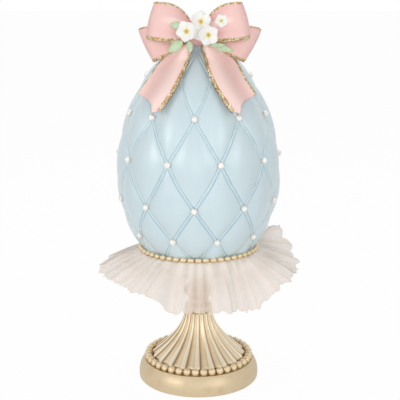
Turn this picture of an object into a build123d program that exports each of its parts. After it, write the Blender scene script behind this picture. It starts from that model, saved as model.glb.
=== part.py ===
from build123d import *
import math
import os

# Quilted egg on a fluted stand. Millimetres, +Z up, origin at the middle of the underside, front towards -Y.

# Fits shared by several pieces
glue_gap = 0.12
rod_radius = 3.0
rod_clearance = 0.2

# Felt and plinth
felt_margin = 4.5
felt_thickness = 1.5
felt_proud = 0.5
plinth_radius = 39.0
plinth_rounding = 3.4
plinth_height = 12.5
plinth_edge = 1.0

# Bead rows
base_bead_radius = 2.42
base_bead_spacing = 0.25
base_bead_turn = -3.4
egg_bead_radius = 1.5
egg_bead_half_length = 2.15
egg_bead_spacing = 0.2
egg_bead_rise = 11.6
egg_bead_back = 25.0
ball_sides = 10

# Fluted foot
foot_top_radius = 8.8
foot_height = 31.4
foot_flare = 1.8
foot_rim_height = 5.0
foot_bead_gap = 0.25
flute_count = 20
flute_turn = -2.0
flute_depth = 0.085
flute_ridge_share = 0.3
flute_ridge_crown = 0.012
foot_sections = 6

# Stem and cup
collar_radius = 9.0
collar_height = 5.7
stem_radius = 6.2
knop_radius = 9.6
stem_height = 17.4
cup_height = 10.0
cup_rim_height = 4.0
cup_rim_thickness = 2.2
cup_clearance = 1.0

# Egg
egg_radius = 52.0
egg_upper_height = 87.0
egg_lower_height = 69.2
egg_upper_taper = 0.27
egg_lower_taper = 0.045
egg_seat_depth = 9.8
egg_wall = 5.0
quilt_columns = 10
quilt_depth = 2.2
quilt_turn = -2.9
quilt_rows = (-50.5, -31.8, -12.7, 8.0, 26.3, 44.6, 63.0)
pearl_radius = 1.9

# Egg fixing
plug_radius = 14.0
plug_boss_wall = 3.0
plug_boss_height = 9.0
insert_wall = 2.0
thread_gap = 0.05
washer_radius = 6.2
washer_thickness = 1.6
nut_flats = 10.0
nut_thickness = 5.0
nut_room = 1.0

# Tulle
band_height = 3.4
band_thickness = 1.0
ruffle_width = 28.4
ruffle_thickness = 0.8
ruffle_folds = 36
ruffle_fold_height = 2.6
ruffle_front_droop = 52.0
ruffle_side_droop = 15.0
ruffle_front_turn = 6.0
ruffle_front_spread = 38.0
ruffle_flap_turn = 121.0
ruffle_flap_spread = 14.0
ruffle_flap_lift = 28.0

# Bow
ribbon_thickness = 1.6
knot_width = 13.0
knot_depth = 13.0
knot_height = 16.5
bow_drop = 0.6
bow_standoff = 2.6
upper_loop_reach = 29.4
upper_loop_top = 17.7
lower_loop_reach = 35.6
lower_loop_drop = 15.6
loop_depth = 10.5
tail_lift = 0.8
tail_reach = 35.0
tail_length = 37.0
pin_radius = 1.5
pin_length = 20.0

# Flowers and leaves
flower_radius = 6.2
small_flower_radius = 3.9
petal_count = 5
petal_thickness = 1.1
flower_stub_radius = 1.6
flower_step = 3.4
leaf_thickness = 0.9
leaf_standoff = 1.2

# Radii and heights that follow from the sizes above
felt_radius = plinth_radius - felt_margin
plinth_shoulder_radius = plinth_radius - plinth_rounding
base_bead_ring_radius = plinth_shoulder_radius - base_bead_radius
foot_radius = base_bead_ring_radius - base_bead_radius - foot_bead_gap
plinth_base_z = felt_proud
plinth_top_z = plinth_base_z + plinth_height
foot_top_z = plinth_top_z + foot_height
stem_base_z = foot_top_z + collar_height
cup_base_z = stem_base_z + stem_height
egg_seat_z = cup_base_z + cup_height
egg_middle_z = egg_seat_z - egg_seat_depth + egg_lower_height
egg_bead_z = egg_seat_z + egg_bead_rise
bow_z = egg_middle_z + egg_upper_height - bow_drop
rod_hole_radius = rod_radius + rod_clearance
insert_radius = rod_radius + insert_wall
plug_boss_radius = insert_radius + plug_boss_wall
washer_z = felt_thickness + nut_room + nut_thickness
pocket_roof_z = washer_z + washer_thickness
pocket_radius = washer_radius + nut_room


def ring_point(radius, degrees, height):
    """Point at a radius and height; zero degrees is the front, growing towards +X."""
    angle = math.radians(degrees)
    return Vector(radius * math.sin(angle), -radius * math.cos(angle), height)


def egg_profile(angle, inset=0.0):
    """Radius and height on the egg's outline at a profile angle of -90 (bottom) to 90 (top)."""
    upper = angle >= 0
    rise = math.sin(math.radians(angle))
    taper = egg_upper_taper if upper else egg_lower_taper
    half_height = egg_upper_height if upper else egg_lower_height
    radius = (egg_radius - inset) * math.cos(math.radians(angle)) * (1 - taper * rise * rise)
    return max(radius, 0.0), egg_middle_z + (half_height - inset) * rise


def egg_radius_at(height, inset=0.0):
    """Radius of the egg's outline at a height."""
    half_height = egg_upper_height if height >= egg_middle_z else egg_lower_height
    rise = (height - egg_middle_z) / (half_height - inset)
    return egg_profile(math.degrees(math.asin(max(-1.0, min(1.0, rise)))), inset)[0]


def turned(points):
    """Solid of revolution about Z from a closed outline of radius and height pairs."""
    outline = Polyline([(radius, 0, height) for radius, height in points], close=True)
    return revolve(make_face(outline), Axis.Z)


def egg_solid(inset, lowest=-90.0):
    """Smooth egg, inset from the outline, closed flat below its lowest profile angle."""
    steps = [lowest + (90.0 - lowest) * i / 14 for i in range(15)]
    points = [egg_profile(angle, inset) for angle in steps]
    curve = Spline([(radius, 0, height) for radius, height in points])
    axis_line = Line(curve @ 1, (0, 0, points[0][1]))
    edges = [curve, axis_line]
    if points[0][0] > 0.01:
        edges.append(Line((0, 0, points[0][1]), curve @ 0))
    return revolve(make_face(edges), Axis.Z)


def faceted_ball(radius, lowest, stretch=1.0):
    """Small ball of few faces, longer along X if asked, from a lowest latitude up to its crown."""
    latitudes = [lowest + (65.0 - lowest) * i / 3 for i in range(4)]
    rings = []
    for latitude in latitudes:
        level = radius * math.sin(math.radians(latitude))
        share = math.cos(math.radians(latitude))
        corners = []
        for i in range(ball_sides):
            turn = 2 * math.pi * i / ball_sides
            corners.append((stretch * radius * share * math.cos(turn), radius * share * math.sin(turn), level))
        rings.append(make_face(Polyline(corners, close=True)))
    return loft(rings, ruled=True)


def felt_pad():
    return Pos(0, 0, felt_thickness / 2) * Cylinder(felt_radius, felt_thickness)


def base_plinth():
    """Round plinth with a bullnose side, a recess for the felt and a pocket for the nut."""
    base = plinth_base_z
    side = ThreePointArc(
        (plinth_radius, 0, base + plinth_edge),
        (plinth_radius - 0.2 * plinth_rounding, 0, base + 0.62 * plinth_height),
        (plinth_shoulder_radius, 0, plinth_top_z),
    )
    edge = ThreePointArc(
        (plinth_radius - plinth_edge, 0, base),
        (plinth_radius - 0.3 * plinth_edge, 0, base + 0.3 * plinth_edge),
        (plinth_radius, 0, base + plinth_edge),
    )
    inside = Polyline(
        (plinth_shoulder_radius, 0, plinth_top_z),
        (rod_hole_radius, 0, plinth_top_z),
        (rod_hole_radius, 0, pocket_roof_z),
        (pocket_radius, 0, pocket_roof_z),
        (pocket_radius, 0, felt_thickness),
        (felt_radius + rod_clearance, 0, felt_thickness),
        (felt_radius + rod_clearance, 0, base),
        (plinth_radius - plinth_edge, 0, base),
    )
    return revolve(make_face([edge, side, inside]), Axis.Z)


def base_beads():
    """Round beads side by side in a ring, as many as fit between the foot and the plinth's shoulder."""
    count = int(2 * math.pi * base_bead_ring_radius / (2 * base_bead_radius + base_bead_spacing))
    bead = faceted_ball(base_bead_radius, -65.0)
    height = plinth_top_z + base_bead_radius
    turns = [base_bead_turn + 360 * i / count for i in range(count)]
    return [Pos(ring_point(base_bead_ring_radius, turn, height)) * bead for turn in turns]


def egg_beads():
    """Oval flat-backed beads in a ring round the egg, seated square to its outline."""
    outline = egg_radius_at(egg_bead_z)
    slope = egg_radius_at(egg_bead_z + 0.5) - egg_radius_at(egg_bead_z - 0.5)
    count = int(2 * math.pi * outline / (2 * egg_bead_half_length + egg_bead_spacing))
    stand = glue_gap + egg_bead_radius * math.sin(math.radians(egg_bead_back))
    bead = faceted_ball(egg_bead_radius, -egg_bead_back, egg_bead_half_length / egg_bead_radius)
    beads = []
    for i in range(count):
        turn = 360 * i / count
        outward = ring_point(1, turn, -slope)
        middle = ring_point(outline, turn, egg_bead_z) + outward.normalized() * stand
        beads.append(Plane(origin=middle, x_dir=ring_point(1, turn + 90, 0), z_dir=outward) * bead)
    return beads


def fluted_section(radius, height):
    """Closed ring of wide hollow flutes with narrow rounded ridges between them."""
    pitch = 360 / flute_count
    ridge = pitch * flute_ridge_share
    edges = []
    for i in range(flute_count):
        start = flute_turn + i * pitch
        valley = radius * (1 - flute_depth)
        edge = radius * (1 - flute_ridge_crown)
        edges.append(
            ThreePointArc(
                ring_point(edge, start - ridge / 2, height),
                ring_point(radius, start, height),
                ring_point(edge, start + ridge / 2, height),
            )
        )
        edges.append(
            ThreePointArc(
                ring_point(edge, start + ridge / 2, height),
                ring_point(valley, start + pitch / 2, height),
                ring_point(edge, start + pitch - ridge / 2, height),
            )
        )
    return make_face(edges)


def fluted_foot():
    """Trumpet foot lofted through fluted rings that shrink towards the neck, on an upright fluted rim."""
    rim = extrude(fluted_section(foot_radius, plinth_top_z), amount=foot_rim_height, dir=(0, 0, 1))
    flare_height = foot_height - foot_rim_height
    sections = []
    for i in range(foot_sections):
        share = i / (foot_sections - 1)
        radius = foot_top_radius + (foot_radius - foot_top_radius) * (1 - share) ** foot_flare
        sections.append(fluted_section(radius, plinth_top_z + foot_rim_height + flare_height * share))
    bore = Pos(0, 0, plinth_top_z + foot_height / 2) * Cylinder(rod_hole_radius, foot_height + 1)
    return rim + loft(sections) - bore


def neck_collar():
    middle = foot_top_z + collar_height / 2
    bulge = ThreePointArc(
        (collar_radius - 1.4, 0, foot_top_z),
        (collar_radius, 0, middle),
        (collar_radius - 1.4, 0, foot_top_z + collar_height),
    )
    inside = Polyline(
        bulge @ 1,
        (rod_hole_radius, 0, foot_top_z + collar_height),
        (rod_hole_radius, 0, foot_top_z),
        bulge @ 0,
    )
    return revolve(make_face([bulge, inside]), Axis.Z)


def stem_baluster():
    """Turned stem with one knop between two waists."""
    base = stem_base_z
    curve = Spline(
        (stem_radius + 1.0, 0, base),
        (stem_radius, 0, base + 0.15 * stem_height),
        (knop_radius, 0, base + 0.45 * stem_height),
        (stem_radius, 0, base + 0.78 * stem_height),
        (stem_radius + 1.6, 0, base + stem_height),
    )
    inside = Polyline(
        curve @ 1,
        (rod_hole_radius, 0, base + stem_height),
        (rod_hole_radius, 0, base),
        curve @ 0,
    )
    return revolve(make_face([curve, inside]), Axis.Z)


def egg_cup():
    """Shallow cup: flat floor under the egg, flared side, open rim."""
    seat_radius = egg_radius_at(egg_seat_z) + cup_clearance
    rim_z = egg_seat_z + cup_rim_height
    rim_inside = egg_radius_at(rim_z) + cup_clearance
    rim_outside = rim_inside + cup_rim_thickness
    underside = Spline(
        (stem_radius + 2.2, 0, cup_base_z),
        (0.45 * rim_outside, 0, cup_base_z + 0.24 * cup_height),
        (0.82 * rim_outside, 0, egg_seat_z - 0.22 * cup_height),
        (rim_outside, 0, rim_z),
    )
    inside = Polyline(
        underside @ 1,
        (rim_inside, 0, rim_z),
        (seat_radius, 0, egg_seat_z),
        (rod_hole_radius, 0, egg_seat_z),
        (rod_hole_radius, 0, cup_base_z),
        underside @ 0,
    )
    return revolve(make_face([underside, inside]), Axis.Z)


def quilt_angle(row):
    """Profile angle at a quilting row; whole rows carry the pearls, the ends are the poles."""
    angles = (-90.0,) + quilt_rows + (90.0,)
    row = max(0.0, min(row, len(angles) - 1.0))
    below = min(int(row), len(angles) - 2)
    return angles[below] + (row - below) * (angles[below + 1] - angles[below])


def quilt_point(row, column, inset):
    """Point on the egg by quilting row and column, inset from the puffed outline."""
    radius, height = egg_profile(quilt_angle(row), inset)
    return ring_point(radius, quilt_turn + column * 360 / quilt_columns, height)


def seam_controls(start, end):
    """Four control points of the seam that runs between two quilting points."""
    last_row = len(quilt_rows) + 1
    along = [start, end]
    if start[0] in (0, last_row):
        along[0] = (start[0], end[1])
    if end[0] in (0, last_row):
        along[1] = (end[0], start[1])
    (row_a, column_a), (row_b, column_b) = along
    step = 0.04

    def on_seam(share):
        row = row_a + share * (row_b - row_a)
        return quilt_point(row, column_a + share * (column_b - column_a), quilt_depth)

    first, last = on_seam(0), on_seam(1)
    leave = (on_seam(step) - first) * (1 / (3 * step))
    arrive = (last - on_seam(1 - step)) * (1 / (3 * step))
    return [first, first + leave, last - arrive, last]


def quilt_diamond(row, column):
    """One puffed diamond: seams on all four sides, filled out to the egg's outline in the middle."""
    bottom, top = (row, column), (row + 2, column)
    left, right = (row + 1, column - 0.5), (row + 1, column + 0.5)
    low_right = seam_controls(bottom, right)
    low_left = seam_controls(bottom, left)
    high_left = seam_controls(left, top)
    high_right = seam_controls(right, top)
    grid = [[None] * 4 for _ in range(4)]
    for i in range(4):
        grid[i][0] = low_right[i]
        grid[0][i] = low_left[i]
        grid[i][3] = high_left[i]
        grid[3][i] = high_right[i]
    for i in (1, 2):
        for j in (1, 2):
            a, b = (0 if i == 1 else 3), (0 if j == 1 else 3)
            grid[i][j] = grid[i][b] + grid[a][j] - grid[a][b]
    weight = (0.125, 0.375, 0.375, 0.125)
    middle = Vector(0, 0, 0)
    for i in range(4):
        for j in range(4):
            middle = middle + grid[i][j] * (weight[i] * weight[j])
    puff = (quilt_point(row + 1, column, 0) - middle) * (1 / 0.5625)
    for i in (1, 2):
        for j in (1, 2):
            grid[i][j] = grid[i][j] + puff
    return Face.make_bezier_surface(grid)


def quilted_egg():
    """Closed skin of puffed diamonds from pole to pole."""
    faces = []
    for row in range(len(quilt_rows)):
        for i in range(quilt_columns):
            column = i + (0.0 if row % 2 else 0.5)
            faces.append(quilt_diamond(row, column))
    return Solid(Shell(faces))


def egg_shell():
    """Hollow quilted egg with a flat seat, an opening for the plug and a socket for the bow's pin."""
    floor_z = egg_seat_z + egg_wall
    below = Pos(0, 0, egg_seat_z - 25) * Box(4 * egg_radius, 4 * egg_radius, 50)
    keep = Pos(0, 0, floor_z + 2 * egg_radius) * Box(4 * egg_radius, 4 * egg_radius, 4 * egg_radius)
    cavity = egg_solid(egg_wall + quilt_depth) & keep
    opening = Pos(0, 0, egg_seat_z) * Cylinder(plug_radius, 3 * egg_wall)
    return quilted_egg() - below - cavity - opening - bow_pin(glue_gap)


def egg_plug():
    outer = plug_radius - glue_gap
    hole = insert_radius + glue_gap
    floor_z = egg_seat_z + egg_wall
    return turned(
        [
            (hole, egg_seat_z),
            (outer, egg_seat_z),
            (outer, floor_z),
            (plug_boss_radius, floor_z),
            (plug_boss_radius, floor_z + plug_boss_height),
            (hole, floor_z + plug_boss_height),
        ]
    )


def threaded_insert():
    length = egg_wall + plug_boss_height
    sleeve = Cylinder(insert_radius, length) - Cylinder(rod_radius + thread_gap, length)
    return Pos(0, 0, egg_seat_z + length / 2) * sleeve


def tie_rod_washer():
    ring = Cylinder(washer_radius, washer_thickness) - Cylinder(rod_hole_radius, washer_thickness)
    return Pos(0, 0, washer_z + washer_thickness / 2) * ring


def tie_rod_nut():
    hexagon = RegularPolygon(nut_flats / 2, 6, major_radius=False) - Circle(rod_radius + thread_gap)
    return Pos(0, 0, washer_z - nut_thickness) * extrude(hexagon, nut_thickness)


def tie_rod():
    low = washer_z - nut_thickness
    high = egg_seat_z + egg_wall + 0.7 * plug_boss_height
    return Pos(0, 0, (low + high) / 2) * Cylinder(rod_radius, high - low)


def pearl_row(row):
    """Flat-backed pearls glued where the seams cross."""
    pearls = []
    for i in range(quilt_columns):
        column = i + (0.0 if row % 2 else 0.5)
        seat = quilt_point(row, column, quilt_depth)
        along = quilt_point(row + 0.05, column, quilt_depth) - quilt_point(row - 0.05, column, quilt_depth)
        across = Vector(-seat.Y, seat.X, 0)
        outward = across.cross(along)
        puff_share = pearl_radius * quilt_columns / (2 * math.pi * math.hypot(seat.X, seat.Y))
        lift = glue_gap + 16 * quilt_depth * puff_share * puff_share
        place = Plane(origin=seat + outward.normalized() * lift, z_dir=outward)
        pearls.append(place * faceted_ball(pearl_radius, 0.0))
    return pearls


def band_start():
    """Radius and height where the tulle's band begins, just above the cup's rim."""
    height = egg_seat_z + cup_rim_height + 0.4
    return height, egg_radius_at(height) + 0.4, egg_radius_at(height + band_height) + 0.4


def tulle_band():
    height, low, high = band_start()
    return turned(
        [
            (low, height),
            (low + band_thickness, height),
            (high + band_thickness, height + band_height),
            (high, height + band_height),
        ]
    )


def ruffle_droop(degrees):
    """How far the cloth hangs: steep in the front panel, shallow elsewhere, lifted in one flap at the back."""
    turned_by = (degrees - ruffle_front_turn + 180) % 360 - 180
    panel = 1 / (1 + (turned_by / ruffle_front_spread) ** 6)
    flap = math.exp(-(((degrees - ruffle_flap_turn) / ruffle_flap_spread) ** 2))
    hang = ruffle_side_droop + (ruffle_front_droop - ruffle_side_droop) * panel
    return hang - ruffle_flap_lift * flap


def ruffle_section(index):
    """Cloth cut through on one fold's crest or trough: an arched strip from the band to the hem."""
    degrees = index * 180 / ruffle_folds
    droop = math.radians(ruffle_droop(degrees))
    side = 1 if index % 2 else -1
    height, low, high = band_start()
    root_radius = (low + high) / 2 + band_thickness + 1.0
    root_z = height + 0.5 * band_height

    def upper_and_lower(reach, arch, fold):
        out = ruffle_width * reach
        lift = arch + side * fold
        radius = root_radius + out * math.cos(droop) + lift * math.sin(droop)
        z = root_z - out * math.sin(droop) + lift * math.cos(droop)
        half = ruffle_thickness / 2
        return ring_point(radius, degrees, z + half), ring_point(radius, degrees, z - half)

    top = [upper_and_lower(0, 0, 0.2), upper_and_lower(0.5, 1.2, 0.6 * ruffle_fold_height)]
    top.append(upper_and_lower(1, 0, ruffle_fold_height))
    above = ThreePointArc(top[0][0], top[1][0], top[2][0])
    below = ThreePointArc(top[2][1], top[1][1], top[0][1])
    return make_face([above, Line(above @ 1, below @ 0), below, Line(below @ 1, above @ 0)])


def tulle_ruffle():
    """Gathered tulle: two half rings lofted fold by fold, joined at the sides."""
    first = loft([ruffle_section(i) for i in range(ruffle_folds + 1)], ruled=True)
    second = loft([ruffle_section(i) for i in range(ruffle_folds, 2 * ruffle_folds + 1)], ruled=True)
    return first + second


bow_front = egg_radius_at(bow_z - knot_height / 2) + bow_standoff + knot_depth / 2


def bow_clearance(lift):
    """Space kept free for what lies behind the bow, out to a lift above the egg's outline."""
    return egg_solid(-lift, 0.0)


def front_prism(outline):
    """Front outline in X and Z drawn through the depth of the bow."""
    face = make_face(Polyline([(x, 0, z) for x, z in outline], close=True))
    return extrude(face, 3 * egg_radius, dir=(0, -1, 0))


def ribbon_loop(reach, start_y, front_y, back_y, low_z, high_z):
    """Flat ribbon turned back on itself: a drop-shaped ring seen from above."""
    start = (knot_width / 2 + glue_gap, start_y)
    span = reach - start[0]
    lean = 0.08 * (back_y - front_y)
    shoulder_x = start[0] + 0.74 * span
    front = ThreePointArc(start, (start[0] + 0.42 * span, front_y), (shoulder_x, front_y + lean))
    tip = ThreePointArc(front @ 1, (reach, (front_y + back_y) / 2), (shoulder_x, back_y - lean))
    back = ThreePointArc(tip @ 1, (start[0] + 0.42 * span, back_y), start)
    outside = make_face([front, tip, back])
    inside = offset(outside, -ribbon_thickness)
    return Pos(0, 0, low_z) * extrude(outside - inside, high_z - low_z)


def bow_upper_loop(side):
    low_z = bow_z - 5.6
    high_z = bow_z + upper_loop_top
    front = -bow_front - 7.2
    ring = ribbon_loop(upper_loop_reach, -bow_front - 1.6, front, front + loop_depth, low_z, high_z)
    reach = upper_loop_reach
    outline = [
        (0.0, bow_z + 7.0),
        (0.24 * reach, high_z - 8.4),
        (0.40 * reach, high_z - 3.4),
        (0.60 * reach, high_z - 0.7),
        (0.86 * reach, high_z),
        (0.96 * reach, high_z - 9.0),
        (reach + 1.0, bow_z),
        (0.3 * reach, low_z),
        (0.0, low_z),
    ]
    return mirrored(ring & front_prism(outline), side)


def bow_lower_loop(side):
    low_z = bow_z - lower_loop_drop
    high_z = bow_z + 4.8
    front = -bow_front + 3.8
    reach = lower_loop_reach
    ring = ribbon_loop(reach, -bow_front + 5.0, front, front + 1.15 * loop_depth, low_z, high_z)
    outline = [
        (0.0, bow_z),
        (0.8 * reach, high_z),
        (reach + 1.0, high_z - 1.0),
        (0.77 * reach, low_z),
        (0.54 * reach, bow_z - 12.0),
        (0.2 * reach, bow_z - 7.4),
        (0.0, bow_z - 7.4),
    ]
    return mirrored(ring & front_prism(outline), side) - bow_clearance(tail_lift + ribbon_thickness + glue_gap)


def mirrored(shape, side):
    return shape if side > 0 else mirror(shape, Plane.YZ)


def bow_knot():
    """Cushioned knot that the loops, tails and flowers are glued to."""
    block = fillet(Box(knot_width, knot_depth, knot_height).edges(), 2.6)
    behind = bow_clearance(tail_lift + ribbon_thickness + glue_gap)
    return Pos(0, -bow_front, bow_z + 0.3) * block - behind - bow_pin(glue_gap)


def bow_tail(side):
    """Ribbon end lying over the egg's front with a notched tip."""
    drape = egg_solid(-tail_lift - ribbon_thickness, 0.0) - egg_solid(-tail_lift, 0.0)
    top = bow_z - 8.2
    tip = top - tail_length
    outline = [
        (2.0, bow_z - 4.0),
        (2.4, top),
        (0.27 * tail_reach, tip + 0.61 * tail_length),
        (0.44 * tail_reach, tip + 0.32 * tail_length),
        (0.69 * tail_reach, tip),
        (0.79 * tail_reach, tip + 0.16 * tail_length),
        (tail_reach, tip + 0.26 * tail_length),
        (0.85 * tail_reach, tip + 0.50 * tail_length),
        (0.62 * tail_reach, top - 5.0),
        (0.25 * tail_reach, top - 0.6),
        (5.6, bow_z - 4.0),
    ]
    return mirrored(drape & front_prism(outline), side)


def bow_pin(extra=0.0):
    """Peg that holds the knot on the egg."""
    peg = Cylinder(pin_radius + extra, pin_length + 2 * extra)
    return Pos(0, -bow_front + pin_length / 2 - 2.0, bow_z - 3.0) * Rot(X=90) * peg


def flower_place(x, z, step, lean_x, lean_z):
    """Plane on the knot's front; flowers face outwards with a small lean."""
    front = -bow_front - knot_depth / 2 - glue_gap
    return Plane(origin=(x, front - step, z), z_dir=(lean_x, -1, lean_z))


def flower(place, radius, stub):
    """Cupped rosette of round petals on a short stub."""
    lobe = radius * math.sin(math.pi / petal_count) / (1 + math.sin(math.pi / petal_count))
    petals = Circle(0.45 * radius)
    for i in range(petal_count):
        petals += Rot(Z=360 * i / petal_count) * Pos(radius - lobe, 0) * Circle(1.02 * lobe)
    bowl = 2.6 * radius
    cup = Pos(0, 0, bowl) * (Sphere(bowl) - Sphere(bowl - petal_thickness))
    rosette = extrude(petals, 0.5 * radius) & cup
    post = Pos(0, 0, -stub / 2 + 0.3) * Cylinder(flower_stub_radius * radius / flower_radius, stub + 0.6)
    return place * (rosette + post)


def flower_centre(place, radius):
    return place * Pos(0, 0, petal_thickness + 2 * glue_gap) * faceted_ball(0.3 * radius, 0.0)


def flower_places():
    """Where each flower sits, its radius and how far it stands off the knot."""
    small = small_flower_radius
    return {
        "flower_top": (flower_place(1.3, bow_z + 6.5, 0.3, 0.1, 0.3), flower_radius, 0.3),
        "flower_left": (flower_place(-6.6, bow_z + 1.2, flower_step, -0.25, 0), flower_radius, flower_step),
        "flower_right": (flower_place(5.6, bow_z - 0.8, flower_step, 0.2, -0.1), flower_radius, flower_step),
        "flower_small_right": (flower_place(13.2, bow_z + 7.1, 1.4, 0.1, 0), small, 0.8),
        "flower_small_lower": (flower_place(-0.2, bow_z - 3.0, 1.0, 0, -0.2), small, 0.8),
    }


def flower_centres():
    return [flower_centre(place, radius) for place, radius, stub in flower_places().values()]


def leaf(base, tip):
    """Pointed leaf between two places, its flat side towards the front."""
    along = Vector(*tip) - Vector(*base)
    length = along.length
    front = Vector(0, -1, 0)
    facing = front - along * (front.dot(along) / (length * length))
    upper = ThreePointArc((0, 0), (0.45 * length, 0.28 * length), (length, 0))
    lower = ThreePointArc((length, 0), (0.45 * length, -0.28 * length), (0, 0))
    blade = extrude(make_face([upper, lower]), leaf_thickness)
    return Plane(origin=base, x_dir=along, z_dir=facing) * blade


def leaves():
    """Leaves that start under the flowers and lie against the loops, by name."""
    y = -bow_front - knot_depth / 2 - leaf_standoff
    low = bow_z - 4.0
    sprig = leaf((5.0, y, low), (13.0, y, low - 3.0))
    sprig += leaf((11.0, y, low - 2.2), (19.0, y, low - 6.0))
    sprig += leaf((9.0, y, low - 1.6), (16.5, y, low - 0.6))
    return {
        "leaf_upper_left": leaf((-9.0, y, bow_z + 4.4), (-16.4, y, bow_z + 4.6)),
        "leaf_lower_left": leaf((-8.6, y, low + 1.4), (-17.2, y, low - 4.4)),
        "leaf_middle": leaf((-5.6, y, low + 0.6), (-5.6, y, low - 7.4)),
        "leaf_sprig_right": sprig,
    }


os.makedirs("parts", exist_ok=True)
pieces = {
    "felt_pad": felt_pad(),
    "base_plinth": base_plinth(),
    "base_beads": Compound(children=base_beads()),
    "fluted_foot": fluted_foot(),
    "neck_collar": neck_collar(),
    "stem_baluster": stem_baluster(),
    "egg_cup": egg_cup(),
    "tie_rod": tie_rod(),
    "tie_rod_washer": tie_rod_washer(),
    "tie_rod_nut": tie_rod_nut(),
    "egg_shell": egg_shell(),
    "egg_plug": egg_plug(),
    "threaded_insert": threaded_insert(),
    "egg_beads": Compound(children=egg_beads()),
    "tulle_band": tulle_band(),
    "tulle_ruffle": tulle_ruffle(),
    "bow_knot": bow_knot(),
    "bow_pin": bow_pin(),
    "bow_upper_loop_left": bow_upper_loop(-1),
    "bow_upper_loop_right": bow_upper_loop(1),
    "bow_lower_loop_left": bow_lower_loop(-1),
    "bow_lower_loop_right": bow_lower_loop(1),
    "bow_tail_left": bow_tail(-1),
    "bow_tail_right": bow_tail(1),
    "flower_centres": Compound(children=flower_centres()),
}
for row in range(2, len(quilt_rows)):
    pieces[f"pearls_row_{row - 1}"] = Compound(children=pearl_row(row))
for name, (place, radius, stub) in flower_places().items():
    pieces[name] = flower(place, radius, stub)
pieces.update(leaves())
for name, shape in pieces.items():
    export_step(shape, f"parts/{name}.step")
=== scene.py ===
"""Finished look of a quilted egg on a fluted stand, built round its packed solids."""

import bmesh
import bpy
import numpy as np
from bpy.props import FloatProperty, FloatVectorProperty, IntProperty, PointerProperty
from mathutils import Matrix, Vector


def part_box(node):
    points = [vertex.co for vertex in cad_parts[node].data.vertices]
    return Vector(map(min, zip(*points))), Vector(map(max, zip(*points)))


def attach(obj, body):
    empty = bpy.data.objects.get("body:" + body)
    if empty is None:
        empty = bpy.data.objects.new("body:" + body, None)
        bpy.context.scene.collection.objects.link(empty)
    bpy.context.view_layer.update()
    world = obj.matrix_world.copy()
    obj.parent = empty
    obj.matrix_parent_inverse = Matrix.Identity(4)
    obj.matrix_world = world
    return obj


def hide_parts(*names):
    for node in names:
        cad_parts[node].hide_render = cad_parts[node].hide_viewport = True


bl_info = {
    "name": "Quilted egg on a fluted stand",
    "version": (1, 0, 0),
    "blender": (4, 5, 0),
    "location": "3D View > Sidebar > Egg",
    "description": "Builds the shell, pearls, beads, tulle, bow, flowers and stand of an egg ornament",
    "category": "Object",
}

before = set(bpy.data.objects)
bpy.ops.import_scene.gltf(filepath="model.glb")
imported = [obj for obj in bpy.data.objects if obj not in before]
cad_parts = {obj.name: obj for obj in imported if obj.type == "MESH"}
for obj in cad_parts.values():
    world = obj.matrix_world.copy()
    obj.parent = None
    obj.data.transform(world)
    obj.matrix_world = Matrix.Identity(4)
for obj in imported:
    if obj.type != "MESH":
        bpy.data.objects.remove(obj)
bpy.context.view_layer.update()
KNOT_LOW, KNOT_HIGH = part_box("bow_knot")
BAND_LOW, BAND_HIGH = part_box("tulle_band")

# Play between pieces that all but touch
FIT = 0.0002
# Full white of the background
WHITE = (1, 1, 1, 1)
# Height that the lamps are aimed at
LAMP_AIM = 0.12
# Turn round a loop of the bow, how far out that is, and the steps across its ribbon
LOOP_TURN = np.linspace(0.16, 2 * np.pi - 0.16, 72)[:, None]
LOOP_OUT = (1 - np.cos(LOOP_TURN)) / 2
LOOP_ACROSS = np.linspace(0, 1, 17)[None, :]
# Steps along a tail of the bow
TAIL_STEPS = 60
# How far aside the loops leave the knot
LOOP_ROOT = 0.0052
# Length of the tulle before it is gathered
CUT_LENGTH = 0.46


def paint(red, green, blue):
    """Linear colour of a paint given in screen values from 0 to 255."""
    shares = np.array([red, green, blue]) / 255
    linear = np.where(shares > 0.04045, ((shares + 0.055) / 1.055) ** 2.4, shares / 12.92)
    return tuple(float(x) for x in linear)


def length(name, description, default):
    return FloatProperty(name=name, description=description, default=default, unit="LENGTH", precision=4)


def share(name, description, default):
    return FloatProperty(name=name, description=description, default=default, subtype="FACTOR", min=0, max=1)


def number(name, description, default):
    return FloatProperty(name=name, description=description, default=default)


def power(name, description, default):
    return FloatProperty(name=name, description=description, default=default, subtype="POWER")


def whole_number(name, description, default):
    return IntProperty(name=name, description=description, default=default, min=1)


def colour(name, description, default):
    return FloatVectorProperty(name=name, description=description, default=default, size=3, subtype="COLOR")


class EggShape(bpy.types.PropertyGroup):
    """Outline and quilting of the egg."""

    radius: length("Radius", "Widest radius of the egg", 0.052)
    upper_height: length("Upper height", "From the widest ring to the top", 0.087)
    lower_height: length("Lower height", "From the widest ring to the round bottom", 0.0692)
    upper_taper: share("Upper taper", "How much slimmer than an ellipse the top is", 0.27)
    lower_taper: share("Lower taper", "How much slimmer than an ellipse the bottom is", 0.045)
    middle: length("Middle", "Height of the widest ring above the table", 0.1369)
    columns: whole_number("Columns", "Diamonds round the egg", 10)
    turn: number("Turn", "Turn of the quilting about the upright axis, in degrees", -2.9)
    rows: FloatVectorProperty(
        name="Rows",
        description="Profile angles of the pearl rows in degrees, from the lowest up",
        default=(-50.5, -31.8, -12.7, 8.0, 26.3, 44.6, 63.0),
        size=7,
    )
    quilt_depth: length("Quilt depth", "How deep the seams lie under the diamonds", 0.0022)
    cord_width: length("Cord width", "Width of the raised cord along each seam", 0.0017)
    cord_rise: length("Cord rise", "How far the cord stands out of its seam", 0.0009)
    pearl_radius: length("Pearl radius", "Radius of the pearls at the crossings", 0.0021)


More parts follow.
